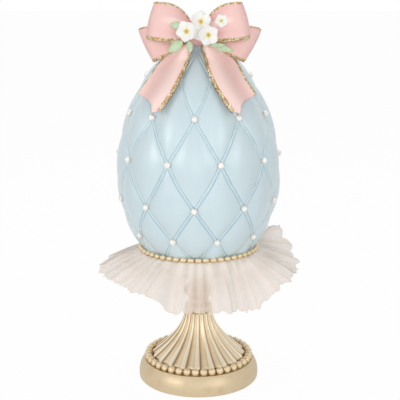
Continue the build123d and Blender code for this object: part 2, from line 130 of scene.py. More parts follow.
class StandShape(bpy.types.PropertyGroup):
    """Bead rows of the stand and the egg, and the flutes of the foot."""

    flutes: whole_number("Flutes", "Flutes round the foot", 20)
    flute_turn: number("Flute turn", "Where the foremost ridge stands, in degrees", -2.0)
    flute_depth: share("Flute depth", "Depth of a flute as a share of the foot's radius", 0.085)
    foot_top: length("Foot top", "Radius of the foot at its neck", 0.0093)
    foot_flare: number("Foot flare", "How late the foot flares out", 1.8)
    foot_rim: length("Foot rim", "Height of the upright rim behind the beads", 0.003)
    base_bead_radius: length("Base bead", "Radius of a bead on the plinth", 0.00242)
    base_beads: whole_number("Base beads", "Beads round the plinth", 40)
    base_bead_turn: number("Base bead turn", "Where the foremost bead of the plinth sits, in degrees", -3.4)
    egg_bead_radius: length("Egg bead", "Half height of a bead under the egg", 0.00155)
    egg_beads: whole_number("Egg beads", "Beads round the egg", 51)


class TulleShape(bpy.types.PropertyGroup):
    """Gathered tulle under the egg."""

    width: length("Width", "From the band to the hem", 0.03)
    folds: whole_number("Folds", "Main folds round the skirt", 36)
    fold_height: length("Fold height", "Height of a main fold at the hem", 0.0009)
    front_droop: number("Front droop", "Fall of the cloth in the front panel, in degrees", 58.0)
    side_droop: number("Side droop", "Fall of the cloth at the sides and back, in degrees", 20.0)
    front_turn: number("Front turn", "Where the middle of the front panel hangs, in degrees", 12.0)
    front_spread: number("Front spread", "Half width of the front panel, in degrees", 36.0)
    flap_turn: number("Flap turn", "Where the lifted flap stands, in degrees", 124.5)
    flap_spread: number("Flap spread", "Half width of the lifted flap, in degrees", 12.0)
    flap_lift: number("Flap lift", "How far the flap is lifted, in degrees", 31.0)
    cover: share("Cover", "How much of what lies behind it the cloth hides", 0.67)


class BowShape(bpy.types.PropertyGroup):
    """Ribbon bow on the egg's shoulder."""

    front: length("Front", "Distance of the knot's front from the upright axis", -KNOT_LOW.y)
    height: length("Height", "Height of the knot's middle", (KNOT_LOW.z + KNOT_HIGH.z) / 2)
    thickness: length("Ribbon thickness", "Thickness of the moulded ribbon", 0.0014)
    upper_reach: length("Upper reach", "How far an upper loop reaches aside", 0.0292)
    lower_reach: length("Lower reach", "How far a lower loop reaches aside", 0.0355)
    edge_width: length("Edge width", "Half width of the gold edge of a loop", 0.0011)


class FlowerShape(bpy.types.PropertyGroup):
    """Flowers and leaves on the knot."""

    radius: length("Flower radius", "Radius of a large flower", 0.0062)
    small_radius: length("Small radius", "Radius of a small flower", 0.0039)
    petals: whole_number("Petals", "Petals of a flower", 5)


class Paints(bpy.types.PropertyGroup):
    """Colours of the finishes."""

    blue: colour("Shell blue", "Pale blue of the egg", paint(203, 221, 227))
    # Painted shade beside the seams, where the creases by the cords fall dark
    seam_shade_blue: colour("Seam blue", "Shade painted into the seams", paint(156, 189, 204))
    pink: colour("Ribbon pink", "Pink of the bow", paint(242, 201, 195))
    # The darker pink is painted shade and the paler pink a painted highlight on the bow
    dusky_shade: colour("Dusky pink", "Shade of the pink in its folds", paint(228, 170, 168))
    pale_pink_highlight: colour("Pale pink", "Lighter pink brushed over what stands out", paint(252, 224, 216))
    gold: colour("Stand gold", "Champagne gold of the stand", paint(221, 200, 165))
    bead: colour("Bead gold", "Deeper gold of the beads", paint(234, 209, 163))
    # This brown is both a worn tone and the painted shade of the gold's hollows and bead gaps
    wash_and_shade: colour("Gold wash", "Brown wash in the gold's hollows", paint(166, 132, 92))
    glitter: colour("Edge gold", "Gold of the ribbon's edges", paint(222, 190, 132))
    tulle: colour("Tulle", "Ivory of the gathered cloth", paint(232, 218, 206))
    pearl: colour("Pearl", "White of the pearls", paint(246, 244, 239))
    petal: colour("Petal", "White of the petals", paint(247, 244, 242))
    centre: colour("Flower centre", "Yellow of the flower centres", paint(238, 212, 122))
    leaf: colour("Leaf", "Pale green of the leaves", paint(202, 219, 184))
    # Painted highlight on the ridges and bead tops, and painted light on the lower flutes
    painted_highlight_gold: colour("Rubbed gold", "Bright gold rubbed onto the ridges", paint(255, 245, 222))
    bright_grain: colour("Bright grain", "Lightest grains of the ribbon's edges", paint(255, 246, 218))
    # Painted light on the net near its band, which lies in the egg's shade
    tulle_painted_light: colour("Layered tulle", "Paler ivory where the net is gathered", paint(255, 250, 244))
    # Painted shade round each pearl's seat and up its sides
    pearl_seat_shade: colour("Pearl seat", "Shade round a pearl's seat", paint(158, 154, 142))
    petal_heart: colour("Petal heart", "Yellow at the petals' inner ends", paint(250, 236, 170))
    leaf_rib: colour("Leaf rib", "Lighter green of the leaves' ribs", paint(214, 230, 196))


class Studio(bpy.types.PropertyGroup):
    """Camera, lamps and floor."""

    camera_place: FloatVectorProperty(
        name="Camera place",
        description="Where the camera stands",
        default=(0.00098, -0.54405, 0.23786),
        size=3,
        subtype="TRANSLATION",
        unit="LENGTH",
    )
    camera_pitch: number("Camera pitch", "How far the camera looks down, in degrees", 12.42)
    lens: number("Lens", "Focal length in millimetres", 78.75)
    key_power: power("Key power", "Power of the main lamp", 4.15)
    fill_power: power("Fill power", "Power of the side lamp", 2.6)
    front_power: power("Front power", "Power of the lamp by the camera", 6.4)
    top_power: power("Top power", "Power of the lamp above", 4.03)
    surround: number("Surround", "Strength of the even light", 0.34)


# Meshes


def joined(parts):
    """One list of points and faces from several."""
    points, faces, start = [], [], 0
    for part_points, part_faces in parts:
        points.append(part_points)
        faces.extend(tuple(start + i for i in face) for face in part_faces)
        start += len(part_points)
    return np.concatenate(points), faces


def joined_with_marks(pieces):
    """One part and its marks from several that have the same kinds of marks."""
    parts, marks = zip(*pieces)
    return joined(parts), {key: np.concatenate([own[key] for own in marks]) for key in marks[0]}


def grid_faces(long, across, closed_long=False, closed_across=False):
    """Quads between the points of a grid listed row by row."""
    faces = []
    for i in range(long if closed_long else long - 1):
        for j in range(across if closed_across else across - 1):
            k, m = (i + 1) % long, (j + 1) % across
            faces.append((i * across + j, i * across + m, k * across + m, k * across + j))
    return faces


def add_object(name, data):
    made = bpy.data.objects.new(name, data)
    bpy.context.scene.collection.objects.link(made)
    return made


def new_piece(name, part, finish, stands_for=(), marks=None, outward=True):
    """A piece of the ornament from points and faces, riding on the one body."""
    points, faces = part
    mesh = bpy.data.meshes.new(name)
    mesh.from_pydata([tuple(p) for p in points], [], faces)
    for key, values in (marks or {}).items():
        stored = mesh.attributes.new(key, "FLOAT", "POINT")
        stored.data.foreach_set("value", np.asarray(values, np.float32))
    if outward:
        work = bmesh.new()
        work.from_mesh(mesh)
        bmesh.ops.recalc_face_normals(work, faces=work.faces)
        work.to_mesh(mesh)
        work.free()
    mesh.shade_smooth()
    mesh.materials.append(finish)
    piece = add_object(name, mesh)
    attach(piece, "root")
    if stands_for:
        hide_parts(*stands_for)
    return piece


def unit(vectors):
    return vectors / np.maximum(np.linalg.norm(vectors, axis=-1, keepdims=True), 1e-12)


def all_round(count):
    """Directions in degrees, evenly spaced once round."""
    return np.linspace(0, 360, count, endpoint=False)


def on_ring(radius, around, height):
    """Points at a radius and height; zero degrees is the front, growing towards +X."""
    angle = np.radians(around)
    radius, angle, height = np.broadcast_arrays(radius, angle, height)
    return np.stack([radius * np.sin(angle), -radius * np.cos(angle), height], axis=-1)


def curve_through(knots, count):
    """Points on a smooth open curve through the given ones."""
    p = np.array(knots, float)
    p = np.vstack([2 * p[0] - p[1], p, 2 * p[-1] - p[-2]])
    place = np.linspace(0, len(p) - 3, count)
    i = np.minimum(place.astype(int), len(p) - 4)
    f = (place - i)[:, None]
    a, b, c, d = p[i], p[i + 1], p[i + 2], p[i + 3]
    return 0.5 * (2 * b + (c - a) * f + (2 * a - 5 * b + 4 * c - d) * f**2 + (3 * b - a - 3 * c + d) * f**3)


def tube(path, outward, half_width, half_height, sides=8, closed=False):
    """Oval tube along a path, its height along the outward directions."""
    if closed:
        along = unit(np.roll(path, -1, axis=0) - np.roll(path, 1, axis=0))
    else:
        along = unit(np.gradient(path, axis=0))
    aside = unit(np.cross(along, outward))
    up = np.cross(aside, along)
    angle = np.linspace(0, 2 * np.pi, sides, endpoint=False)[None, :, None]
    wide = np.broadcast_to(np.asarray(half_width, float), (len(path),))[:, None, None]
    high = np.broadcast_to(np.asarray(half_height, float), (len(path),))[:, None, None]
    points = path[:, None] + wide * np.cos(angle) * aside[:, None] + high * np.sin(angle) * up[:, None]
    faces = grid_faces(len(path), sides, closed_long=closed, closed_across=True)
    if not closed:
        last = (len(path) - 1) * sides
        faces += [tuple(range(sides)), tuple(last + i for i in range(sides))]
    return points.reshape(-1, 3), faces


def turned(profile, segments):
    """Closed body of revolution about Z from radius and height pairs that start and end on the axis."""
    inner = np.array(profile[1:-1], float)
    around = all_round(segments)
    rings = on_ring(inner[:, :1], around[None, :], inner[:, 1:])
    points = np.vstack([rings.reshape(-1, 3), [[0, 0, profile[0][1]], [0, 0, profile[-1][1]]]])
    faces = grid_faces(len(inner), segments, closed_across=True)
    low, high = len(points) - 2, len(points) - 1
    last = (len(inner) - 1) * segments
    for j in range(segments):
        k = (j + 1) % segments
        faces += [(low, k, j), (high, last + j, last + k)]
    return points, faces


def hoop(rings):
    """A body from rings of points, the last ring joined to the first."""
    return rings.reshape(-1, 3), grid_faces(*rings.shape[:2], closed_long=True, closed_across=True)


def scaled(size, profile):
    """A profile given in shares of a size, at that size."""
    return [(size * radius, size * height) for radius, height in profile]


def set_on(part, place, outward):
    """A part made about Z, moved so that its Z points outward at a place."""
    turn = Vector((0, 0, 1)).rotation_difference(Vector(outward)).to_matrix()
    return part[0] @ np.array(turn).T + np.asarray(place), part[1]


def faced(grid):
    """Directions square to a grid of points."""
    return unit(np.cross(np.gradient(grid, axis=0), np.gradient(grid, axis=1)))


def strip(middle, thickness):
    """Closed strip about a grid of middle points, with rounded long edges."""
    long, across = middle.shape[:2]
    facing = faced(middle)
    thick = np.broadcast_to(np.asarray(thickness, float), (long, across))[..., None]
    front, back = middle + facing * thick / 2, middle - facing * thick / 2
    low = middle[:, :1] + unit(middle[:, :1] - middle[:, 1:2]) * thick[:, :1] * 0.4
    high = middle[:, -1:] + unit(middle[:, -1:] - middle[:, -2:-1]) * thick[:, -1:] * 0.4
    rings = np.concatenate([front, high, back[:, ::-1], low], axis=1)
    count = rings.shape[1]
    faces = grid_faces(long, count, closed_across=True)
    for start in (0, (long - 1) * count):
        for j in range(across - 1):
            k = count - 2 - j
            faces.append((start + j, start + j + 1, start + k - 1, start + k))
        faces.append((start + across - 1, start + across, start + across + 1))
        faces.append((start + count - 2, start + count - 1, start))
    return rings.reshape(-1, 3), faces


def strip_marks(shape, **marks):
    """Marks of a grid, repeated for the front, edges and back of its strip."""
    made = {}
    for key, values in marks.items():
        v = np.broadcast_to(values, shape)
        made[key] = np.concatenate([v, v[:, -1:], v[:, ::-1], v[:, :1]], axis=1).ravel()
    return made


def wander(around, seed, slowest, fastest):
    """Smooth irregular wave round a ring, about -1 to 1, that closes on itself."""
    phases = np.random.default_rng(seed)
    waves = range(slowest, fastest + 1)
    total = sum(np.sin(k * np.radians(around) + phases.uniform(0, 2 * np.pi)) for k in waves)
    return np.clip(total / (1.2 * np.sqrt(len(waves))), -1.3, 1.3)


# Finishes


def feed(tree, node, inputs):
    """Set a shader node's inputs, or link them where a socket is given."""
    for key, value in inputs.items():
        if isinstance(value, bpy.types.NodeSocket):
            tree.links.new(value, node.inputs[key])
        else:
            node.inputs[key].default_value = value


def add_node(tree, kind, inputs=None, **settings):
    """A shader node with its settings, and its inputs set or linked."""
    made = tree.nodes.new("ShaderNode" + kind)
    for key, value in settings.items():
        setattr(made, key, value)
    feed(tree, made, inputs or {})
    return made


def new_finish(name, **sockets):
    """A material and its shader nodes, with constant sockets set on the main shader."""
    material = bpy.data.materials.new(name)
    material.use_nodes = True
    tree = material.node_tree
    constants = {key.replace("_", " "): value for key, value in sockets.items()}
    feed(tree, tree.nodes["Principled BSDF"], constants)
    return material, tree


def coated(material, base, relief=None, rough=None):
    """The material with its colour, fine relief (height, strength, distance) and roughness joined on."""
    tree = material.node_tree
    sockets = {"Base Color": base}
    if rough is not None:
        sockets["Roughness"] = rough
    if relief is not None:
        bump = dict(zip(("Height", "Strength", "Distance"), relief))
        sockets["Normal"] = add_node(tree, "Bump", bump).outputs[0]
    feed(tree, tree.nodes["Principled BSDF"], sockets)
    return material


def mark(tree, name):
    """A value stored on a piece's points."""
    return add_node(tree, "Attribute", attribute_name=name).outputs["Fac"]


def reckon(tree, operation, first, second=0.0):
    """One step of arithmetic on sockets or numbers."""
    return add_node(tree, "Math", {0: first, 1: second}, operation=operation).outputs[0]


def opaque(tint):
    """A colour with full cover; a socket stays as it is."""
    return tint if isinstance(tint, bpy.types.NodeSocket) else (*tint, 1.0)


def mixed(tree, factor, first, second):
    """Colour between two, by a factor socket."""
    inputs = {0: factor, 6: opaque(first), 7: opaque(second)}
    return add_node(tree, "Mix", inputs, data_type="RGBA").outputs[2]


def ranged(tree, value, low, high, to_low=0.0, to_high=1.0):
    """A value carried from one range to another, smooth and kept within it."""
    inputs = {"Value": value, "From Min": low, "From Max": high, "To Min": to_low, "To Max": to_high}
    return add_node(tree, "MapRange", inputs, interpolation_type="SMOOTHSTEP").outputs[0]


def own_place(tree):
    return add_node(tree, "TexCoord").outputs["Object"]


def clouds(tree, scale, detail=3.0, stretch=(1, 1, 1), place=None):
    """Noise in the ornament's own frame, or at a given place."""
    if place is None:
        place = own_place(tree)
    sized = add_node(tree, "Mapping", {"Vector": place, "Scale": stretch}).outputs[0]
    return add_node(tree, "TexNoise", {"Vector": sized, "Scale": scale, "Detail": detail}).outputs[0]


def veins(tree, count):
    """Fine lines that follow the stored vein value."""
    return reckon(tree, "SINE", reckon(tree, "MULTIPLY", mark(tree, "vein"), count))


def toned(rgb, factor):
    """A colour made darker, or lighter by a factor over one."""
    return tuple(x * factor for x in rgb)


def shell_blue(paints):
    """Satin blue paint, a little uneven, with painted shade beside the seams."""
    material, tree = new_finish("shell_blue", Coat_Weight=1.0, Coat_Roughness=0.27)
    uneven = ranged(tree, clouds(tree, 55), 0.3, 0.7)
    base = mixed(tree, uneven, toned(paints.blue, 0.965), paints.blue)
    # Painted shade: a darker blue up to 0.9 mm from each seam, fading out by 1.5 mm
    seam_shade_mask = ranged(tree, mark(tree, "seam"), 0.0009, 0.0015)
    base = mixed(tree, seam_shade_mask, paints.seam_shade_blue, base)
    grain = clouds(tree, 1500, 2)
    return coated(material, base, (grain, 0.08, 0.0003), ranged(tree, grain, 0.3, 0.7, 0.4, 0.5))


def ribbon_pink(paints):
    """Matt pink paint with painted shade, a darker pink, in sunk folds towards the gathers and at the loops'
    tips, painted highlight, a paler pink, on raised folds and the tails, and a fine brushed grain.
    """
    material, tree = new_finish("ribbon_pink", Sheen_Weight=0.15, Sheen_Roughness=0.4)
    uneven = ranged(tree, clouds(tree, 90), 0.3, 0.75)
    base = mixed(tree, uneven, paints.pink, toned(paints.pink, 0.95))
    fold = mark(tree, "fold")
    # Painted shade where the fold mark is above nought, painted highlight where it is below
    base = mixed(tree, ranged(tree, fold, 0.25, 1.0, 0.0, 0.7), base, paints.dusky_shade)
    base = mixed(tree, ranged(tree, fold, -0.05, -0.7), base, paints.pale_pink_highlight)
    grain = clouds(tree, 1300)
    return coated(material, base, (grain, 0.1, 0.0003), ranged(tree, grain, 0.3, 0.7, 0.46, 0.6))


def gold_paint(name, paints, tint, smooth, stretch=(1.5, 900, 1)):
    """Gold paint with brushed streaks and worn patches, painted shade in brown where the hollow mark is above
    nought and painted highlights where it is below.
    """
    material, tree = new_finish(name, Metallic=0.45)
    x, y, z = add_node(tree, "SeparateXYZ", {"Vector": own_place(tree)}).outputs
    around = reckon(tree, "ARCTAN2", x, y)
    unrolled = add_node(tree, "CombineXYZ", {"X": around, "Y": z}).outputs[0]
    streak = clouds(tree, 3.0, 4.0, stretch, unrolled)
    base = mixed(tree, ranged(tree, streak, 0.35, 0.7), toned(tint, 0.92), tint)
    worn = ranged(tree, clouds(tree, 140, 5), 0.5, 0.75, 0.0, 0.3)
    base = mixed(tree, worn, base, toned(paints.wash_and_shade, 1.35))
    # The hollow mark carries painted light: brown painted shade above nought, painted highlight below
    hollow = mark(tree, "hollow")
    base = mixed(tree, ranged(tree, hollow, 0.0, 1.0), base, toned(paints.wash_and_shade, 0.85))
    base = mixed(tree, ranged(tree, hollow, 0.0, -1.0, 0.0, 0.95), base, paints.painted_highlight_gold)
    rough = ranged(tree, streak, 0.3, 0.7, smooth, smooth + 0.12)
    return coated(material, base, (clouds(tree, 2200, 2), 0.12, 0.0003), rough)


def edge_glitter(paints):
    """Coarse gold glitter: grains of differing gold, tilted each its own way, darker along its rims."""
    material, tree = new_finish("edge_glitter", Metallic=0.6)
    grains = add_node(tree, "TexVoronoi", {"Vector": own_place(tree), "Scale": 1900.0}).outputs
    tone = add_node(tree, "SeparateColor", {"Color": grains["Color"]}).outputs
    dark = toned(paints.wash_and_shade, 0.85)
    base = mixed(tree, ranged(tree, tone[0], 0.1, 0.55), dark, paints.glitter)
    patch = ranged(tree, clouds(tree, 260, 2), 0.42, 0.62, 0.95, 0.45)
    base = mixed(tree, reckon(tree, "GREATER_THAN", tone[1], patch), base, paints.bright_grain)
    base = mixed(tree, ranged(tree, mark(tree, "rim"), 0.8, 0.98, 0.0, 0.75), base, dark)
    rough = ranged(tree, tone[2], 0.0, 1.0, 0.16, 0.42)
    return coated(material, base, (grains["Distance"], 0.9, 0.0006), rough)


def pearl_white(paints):
    """Lustrous white pearl with a faint warm and cool play, and painted shade round its seat that fades out
    up its sides towards the top.
    """
    lustre = {"IOR": 1.8, "Coat_Weight": 1.0, "Coat_Roughness": 0.05, "Coat_IOR": 1.8}
    material, tree = new_finish("pearl_white", **lustre)
    play = ranged(tree, clouds(tree, 420, 2), 0.35, 0.65)
    base = mixed(tree, play, paints.pearl, toned(paints.pearl, 0.9))
    # Painted shade by the seat mark
    base = mixed(tree, mark(tree, "seat"), base, paints.pearl_seat_shade)
    return coated(material, base, rough=ranged(tree, play, 0.0, 1.0, 0.1, 0.18))


def tulle_ivory(tulle, paints):
    """Sheer ivory net, closer where it is gathered and on its creases and hem, with painted shade in its fold
    hollows and painted light, a paler ivory, near its band where the egg shades it.
    """
    material, tree = new_finish("tulle_ivory", Roughness=0.75, Sheen_Weight=0.3, Sheen_Roughness=0.5)
    out, fold = mark(tree, "out"), mark(tree, "fold")
    net_place = add_node(tree, "CombineXYZ", {"X": mark(tree, "along"), "Y": out}).outputs[0]
    mesh = {"Vector": net_place, "Scale": 1500.0}
    net = add_node(tree, "TexVoronoi", mesh, feature="DISTANCE_TO_EDGE").outputs[0]
    thread = ranged(tree, net, 0.05, 0.3, 0.06, -0.05)
    gathered = ranged(tree, out, 0.006, 0.026, 0.24, 0.0)
    hem = ranged(tree, out, 0.0292, 0.0298, 0.0, 0.2)
    flank = ranged(tree, fold, -0.6, 1.0, -0.06, 0.06)
    crease = ranged(tree, fold, 0.9, 1.0, 0.0, 0.2)
    cover = tulle.cover
    for extra in (thread, gathered, hem, flank, crease):
        cover = reckon(tree, "ADD", extra, cover)
    cover = add_node(tree, "Clamp", {"Value": cover}).outputs[0]
    feed(tree, tree.nodes["Principled BSDF"], {"Alpha": cover})
    # Painted shade: a darker ivory in the hollows between folds
    base = mixed(tree, ranged(tree, fold, -1.0, 0.4), toned(paints.tulle, 0.9), paints.tulle)
    # Painted light: a paler ivory near the band, where the egg shades the net
    base = mixed(tree, ranged(tree, out, 0.003, 0.014, 0.4, 0.0), base, paints.tulle_painted_light)
    return coated(material, base, (net, 0.3, 0.0002))


def woven_band(paints):
    """Narrow ivory ribbon with a close weave."""
    material, tree = new_finish("woven_band", Sheen_Weight=0.3)
    weave = add_node(tree, "TexWave", {"Scale": 700.0, "Distortion": 2.0}).outputs[1]
    base = mixed(tree, weave, paints.tulle, toned(paints.tulle, 0.85))
    return coated(material, base, (weave, 0.4, 0.0002), ranged(tree, weave, 0.0, 1.0, 0.6, 0.75))


def petal_white(paints):
    """White petals, yellow at the heart, with fine veins."""
    soft = {"Roughness": 0.5, "Subsurface_Weight": 0.1, "Subsurface_Scale": 0.002}
    material, tree = new_finish("petal_white", **soft)
    lines = veins(tree, 26.0)
    base = mixed(tree, ranged(tree, lines, -1.0, 1.0, 0.0, 0.35), paints.petal, toned(paints.petal, 0.86))
    base = mixed(tree, ranged(tree, mark(tree, "heart"), 0.18, 0.5, 0.7, 0.0), base, paints.petal_heart)
    return coated(material, base, (lines, 0.25, 0.0002))


def flower_yellow(paints):
    """Golden yellow heart, darker in small random spots."""
    material, tree = new_finish("flower_yellow", Roughness=0.45)
    spots = ranged(tree, clouds(tree, 1600, 2), 0.35, 0.65)
    base = mixed(tree, spots, toned(paints.centre, 0.72), paints.centre)
    return coated(material, base, (spots, 0.3, 0.0003))


def leaf_green(paints):
    """Pale green leaf with a lighter rib, side veins and a deeper green edge."""
    material, tree = new_finish("leaf_green", Roughness=0.5)
    rib = mark(tree, "rib")
    uneven = ranged(tree, clouds(tree, 320), 0.35, 0.7)
    base = mixed(tree, uneven, toned(paints.leaf, 0.88), paints.leaf)
    base = mixed(tree, ranged(tree, rib, 0.55, 1.0, 0.0, 0.45), base, toned(paints.leaf, 0.72))
    base = mixed(tree, ranged(tree, rib, 0.0, 0.14, 0.7, 0.0), base, paints.leaf_rib)
    return coated(material, base, (veins(tree, 40.0), 0.3, 0.0002))


def grey_felt():
    """Soft grey felt with tangled fibres."""
    material, tree = new_finish("grey_felt", Roughness=0.95, Sheen_Weight=0.5)
    fibres = clouds(tree, 900, 8)
    base = mixed(tree, ranged(tree, fibres, 0.3, 0.7), paint(150, 146, 140), paint(196, 192, 184))
    return coated(material, base, (fibres, 0.6, 0.0005))


def plain_metal(name, rgb):
    """Bare metal with fine turning marks."""
    material, tree = new_finish(name, Metallic=1.0)
    marks = clouds(tree, 500, 4, (0.2, 0.2, 6))
    base = mixed(tree, ranged(tree, marks, 0.35, 0.65), toned(rgb, 0.8), rgb)
    return coated(material, base, (marks, 0.15, 0.0002), ranged(tree, marks, 0.3, 0.7, 0.25, 0.4))


def raw_resin():
    """Unpainted cast resin, a little mottled."""
    material, tree = new_finish("raw_resin", Roughness=0.55)
    mottle = clouds(tree, 180, 4)
    base = mixed(tree, ranged(tree, mottle, 0.35, 0.65), paint(222, 216, 204), paint(238, 233, 224))
    return coated(material, base, (mottle, 0.2, 0.0003))


# Egg


def egg_outline(egg, angle, inset):
    """Radius and height on the egg's outline at profile angles of -90 (bottom) to 90 (top)."""
    angle = np.asarray(angle, float)
    rise = np.sin(np.radians(angle))
    taper = np.where(angle >= 0, egg.upper_taper, egg.lower_taper)
    half = np.where(angle >= 0, egg.upper_height, egg.lower_height)
    radius = (egg.radius - inset) * np.cos(np.radians(angle)) * (1 - taper * rise**2)
    return np.maximum(radius, 0), egg.middle + (half - inset) * rise


def egg_radius_at(egg, height):
    half = np.where(height >= egg.middle, egg.upper_height, egg.lower_height)
    rise = np.clip((height - egg.middle) / half, -1, 1)
    return egg_outline(egg, np.degrees(np.arcsin(rise)), 0.0)[0]


def quilt_place(egg, row, column, inset):
    """Points on the egg by quilting row and column, and the outward directions there."""
    knots = [-90.0, *egg.rows, 90.0]
    angle = np.interp(row, range(len(knots)), knots)
    around = egg.turn + np.asarray(column) * 360 / egg.columns
    radius, height = egg_outline(egg, angle, inset)
    low, high = egg_outline(egg, angle - 0.5, inset), egg_outline(egg, angle + 0.5, inset)
    outward = on_ring(high[1] - low[1], around, low[0] - high[0])
    return on_ring(radius, around, height), unit(outward)


def first_column(row):
    return 0.0 if row % 2 else 0.5


def quilt_diamond(egg, row, column, steps):
    """One puffed diamond between its seams: points, and their distance from the nearest seam."""
    last = len(egg.rows) - 1
    spread = 0.5 - 0.5 * np.cos(np.pi * np.arange(steps + 1) / steps)
    right, left = np.meshgrid(spread, spread, indexing="ij")
    climb, aside = right + left, (right - left) / 2
    if row == last:
        aside = np.where(climb > 1, aside / np.maximum(2 - climb, 1e-9), aside)
    if row == 0:
        aside = np.where(climb < 1, aside / np.maximum(climb, 1e-9), aside)
    fullness = 0.66
    puff = (16 * right * (1 - right) * left * (1 - left)) ** fullness
    inset = egg.quilt_depth * (1 - puff)
    points = quilt_place(egg, row + climb, column + aside, inset)[0]
    side = np.linalg.norm(points[0, -1] - points[0, 0])
    edge = np.minimum(np.minimum(right, 1 - right), np.minimum(left, 1 - left)) * side
    return points.reshape(-1, 3), edge.ravel()


def quilted_shell(egg, finish):
    """The egg's skin of diamonds, cut flat at its seat, with the pocket that its plug fills."""
    diamonds, steps = [], 24
    for row in range(len(egg.rows)):
        for i in range(egg.columns):
            points, edge = quilt_diamond(egg, row, i + first_column(row), steps)
            diamonds.append(((points, grid_faces(steps + 1, steps + 1)), {"seam": edge}))
    part, marks = joined_with_marks(diamonds)
    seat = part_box("egg_shell")[0].z
    plug_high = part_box("egg_plug")[1]
    shell = new_piece("quilted_shell", part, finish, ["egg_shell"], marks)
    work = bmesh.new()
    work.from_mesh(shell.data)
    bmesh.ops.remove_doubles(work, verts=work.verts, dist=2e-6)
    everything = work.verts[:] + work.edges[:] + work.faces[:]
    seat_plane = {"plane_co": (0, 0, seat), "plane_no": (0, 0, 1)}
    bmesh.ops.bisect_plane(work, geom=everything, dist=1e-7, clear_inner=True, **seat_plane)
    rim = [edge for edge in work.edges if edge.is_boundary]
    for height in (seat, plug_high.z + 1.5 * FIT):
        made = bmesh.ops.extrude_edge_only(work, edges=rim)["geom"]
        rim = [x for x in made if isinstance(x, bmesh.types.BMEdge) and x.is_boundary]
        for vert in {v for edge in rim for v in edge.verts}:
            flat = unit(np.array([vert.co.x, vert.co.y])) * (plug_high.x + FIT)
            vert.co = (*flat, height)
    bmesh.ops.holes_fill(work, edges=rim, sides=0)
    bmesh.ops.recalc_face_normals(work, faces=work.faces)
    work.to_mesh(shell.data)
    work.free()
    shell.data.shade_smooth()
    return shell


def quilt_cords(egg, finish):
    """The raised cord that follows every seam from the seat to the top."""
    top = len(egg.rows)
    seat, tip = 0.9, top + 0.86
    row = np.concatenate([np.linspace(seat, top, 190), np.linspace(top, tip, 12)[1:]])
    parts = []
    for i in range(egg.columns):
        for lean in (0.5, -0.5):
            column = i + first_column(1) + lean * (np.minimum(row, top) - 1)
            path, outward = quilt_place(egg, row, column, egg.quilt_depth)
            ripple = 1 + 0.06 * np.sin(np.arange(len(row)) * 0.9 + i)
            parts.append(tube(path, outward, egg.cord_width / 2 * ripple, egg.cord_rise, sides=10))
    part = joined(parts)
    # Marked as far from any seam, so that the cords take the egg's plain blue
    marks = {"seam": np.full(len(part[0]), 0.01)}
    return new_piece("quilt_cords", part, finish, marks=marks)


class OrnamentShell(bpy.types.Operator):
    """Build the quilted egg with its seams' cords"""

    bl_idname = "ornament.shell"
    bl_label = "Quilted shell"

    def execute(self, context):
        finish = shell_blue(context.scene.ornament_paints)
        quilted_shell(context.scene.ornament_egg, finish)
        quilt_cords(context.scene.ornament_egg, finish)
        return {"FINISHED"}


def pearl(radius, segments=22):
    """A round pearl with a narrow skirt of glue where it sits."""
    skirt = [(0.0, -0.6), (1.16, -0.6), (1.1, -0.4), (0.99, -0.16)]
    ball = [(np.cos(angle), np.sin(angle)) for angle in np.radians(np.linspace(-4, 84, 11))]
    return turned(scaled(radius, [*skirt, *ball, (0.0, 1.0)]), segments)


class OrnamentPearls(bpy.types.Operator):
    """Set the pearls where the seams cross"""

    bl_idname = "ornament.pearls"
    bl_label = "Pearls"

    def execute(self, context):
        egg = context.scene.ornament_egg
        finish = pearl_white(context.scene.ornament_paints)
        shape = pearl(egg.pearl_radius)
        for row in range(2, len(egg.rows)):
            column = np.arange(egg.columns) + first_column(row)
            places, outward = quilt_place(egg, np.full(egg.columns, row), column, egg.quilt_depth)
            proud = 0.45 * egg.pearl_radius
            seats = places + outward * proud
            part = joined([set_on(shape, place, out) for place, out in zip(seats, outward)])
            level = np.tile(shape[0][:, 2] / egg.pearl_radius, egg.columns)
            # Painted shade mark: full on the glue skirt, fading up the ball to nought near its top
            seat = np.interp(level, (-0.3, -0.1, 0.2, 0.8), (1.0, 0.6, 0.3, 0.0))
            new_piece(f"pearls_{row - 1}", part, finish, [f"pearls_row_{row - 1}"], {"seat": seat})
        return {"FINISHED"}


# Stand


def bead_row(ring_radius, height, bead_radius, count, first):
    """A string of beads that all but touch, on their thread, with marks of painted shade and painted
    highlight.
    """
    closeness = 0.985
    half = closeness * np.pi * ring_radius / count
    profile = [(0.0, -half)]
    for angle in np.linspace(-78, 78, 13):
        across = bead_radius * np.cos(np.radians(angle)) ** 0.9
        profile.append((across, half * np.sin(np.radians(angle))))
    bead = turned(profile + [(0.0, half)], segments=20)
    gap = np.clip(np.abs(bead[0][:, 2]) / half - 0.55, 0, 0.4) / 0.4
    parts = []
    for i in range(count):
        around = first + 360 * i / count
        place = on_ring(ring_radius, around, height)
        parts.append(set_on(bead, place, on_ring(1.0, around + 90, 0.0)))
    # Painted shade towards each bead's ends and on its lower half, painted highlight on its upper half
    rise = (np.concatenate([points[:, 2] for points, _ in parts]) - height) / bead_radius
    wash_and_shade = np.tile(0.65 * gap, count) - 0.75 * rise
    ring = all_round(6 * count)
    thread = 0.3 * bead_radius
    path = on_ring(ring_radius, ring, height)
    parts.append(tube(path, on_ring(1.0, ring, 0.0), thread, thread, closed=True))
    # The thread is marked as full painted shade
    return joined(parts), np.append(wash_and_shade, np.full(len(parts[-1][0]), 1.0))


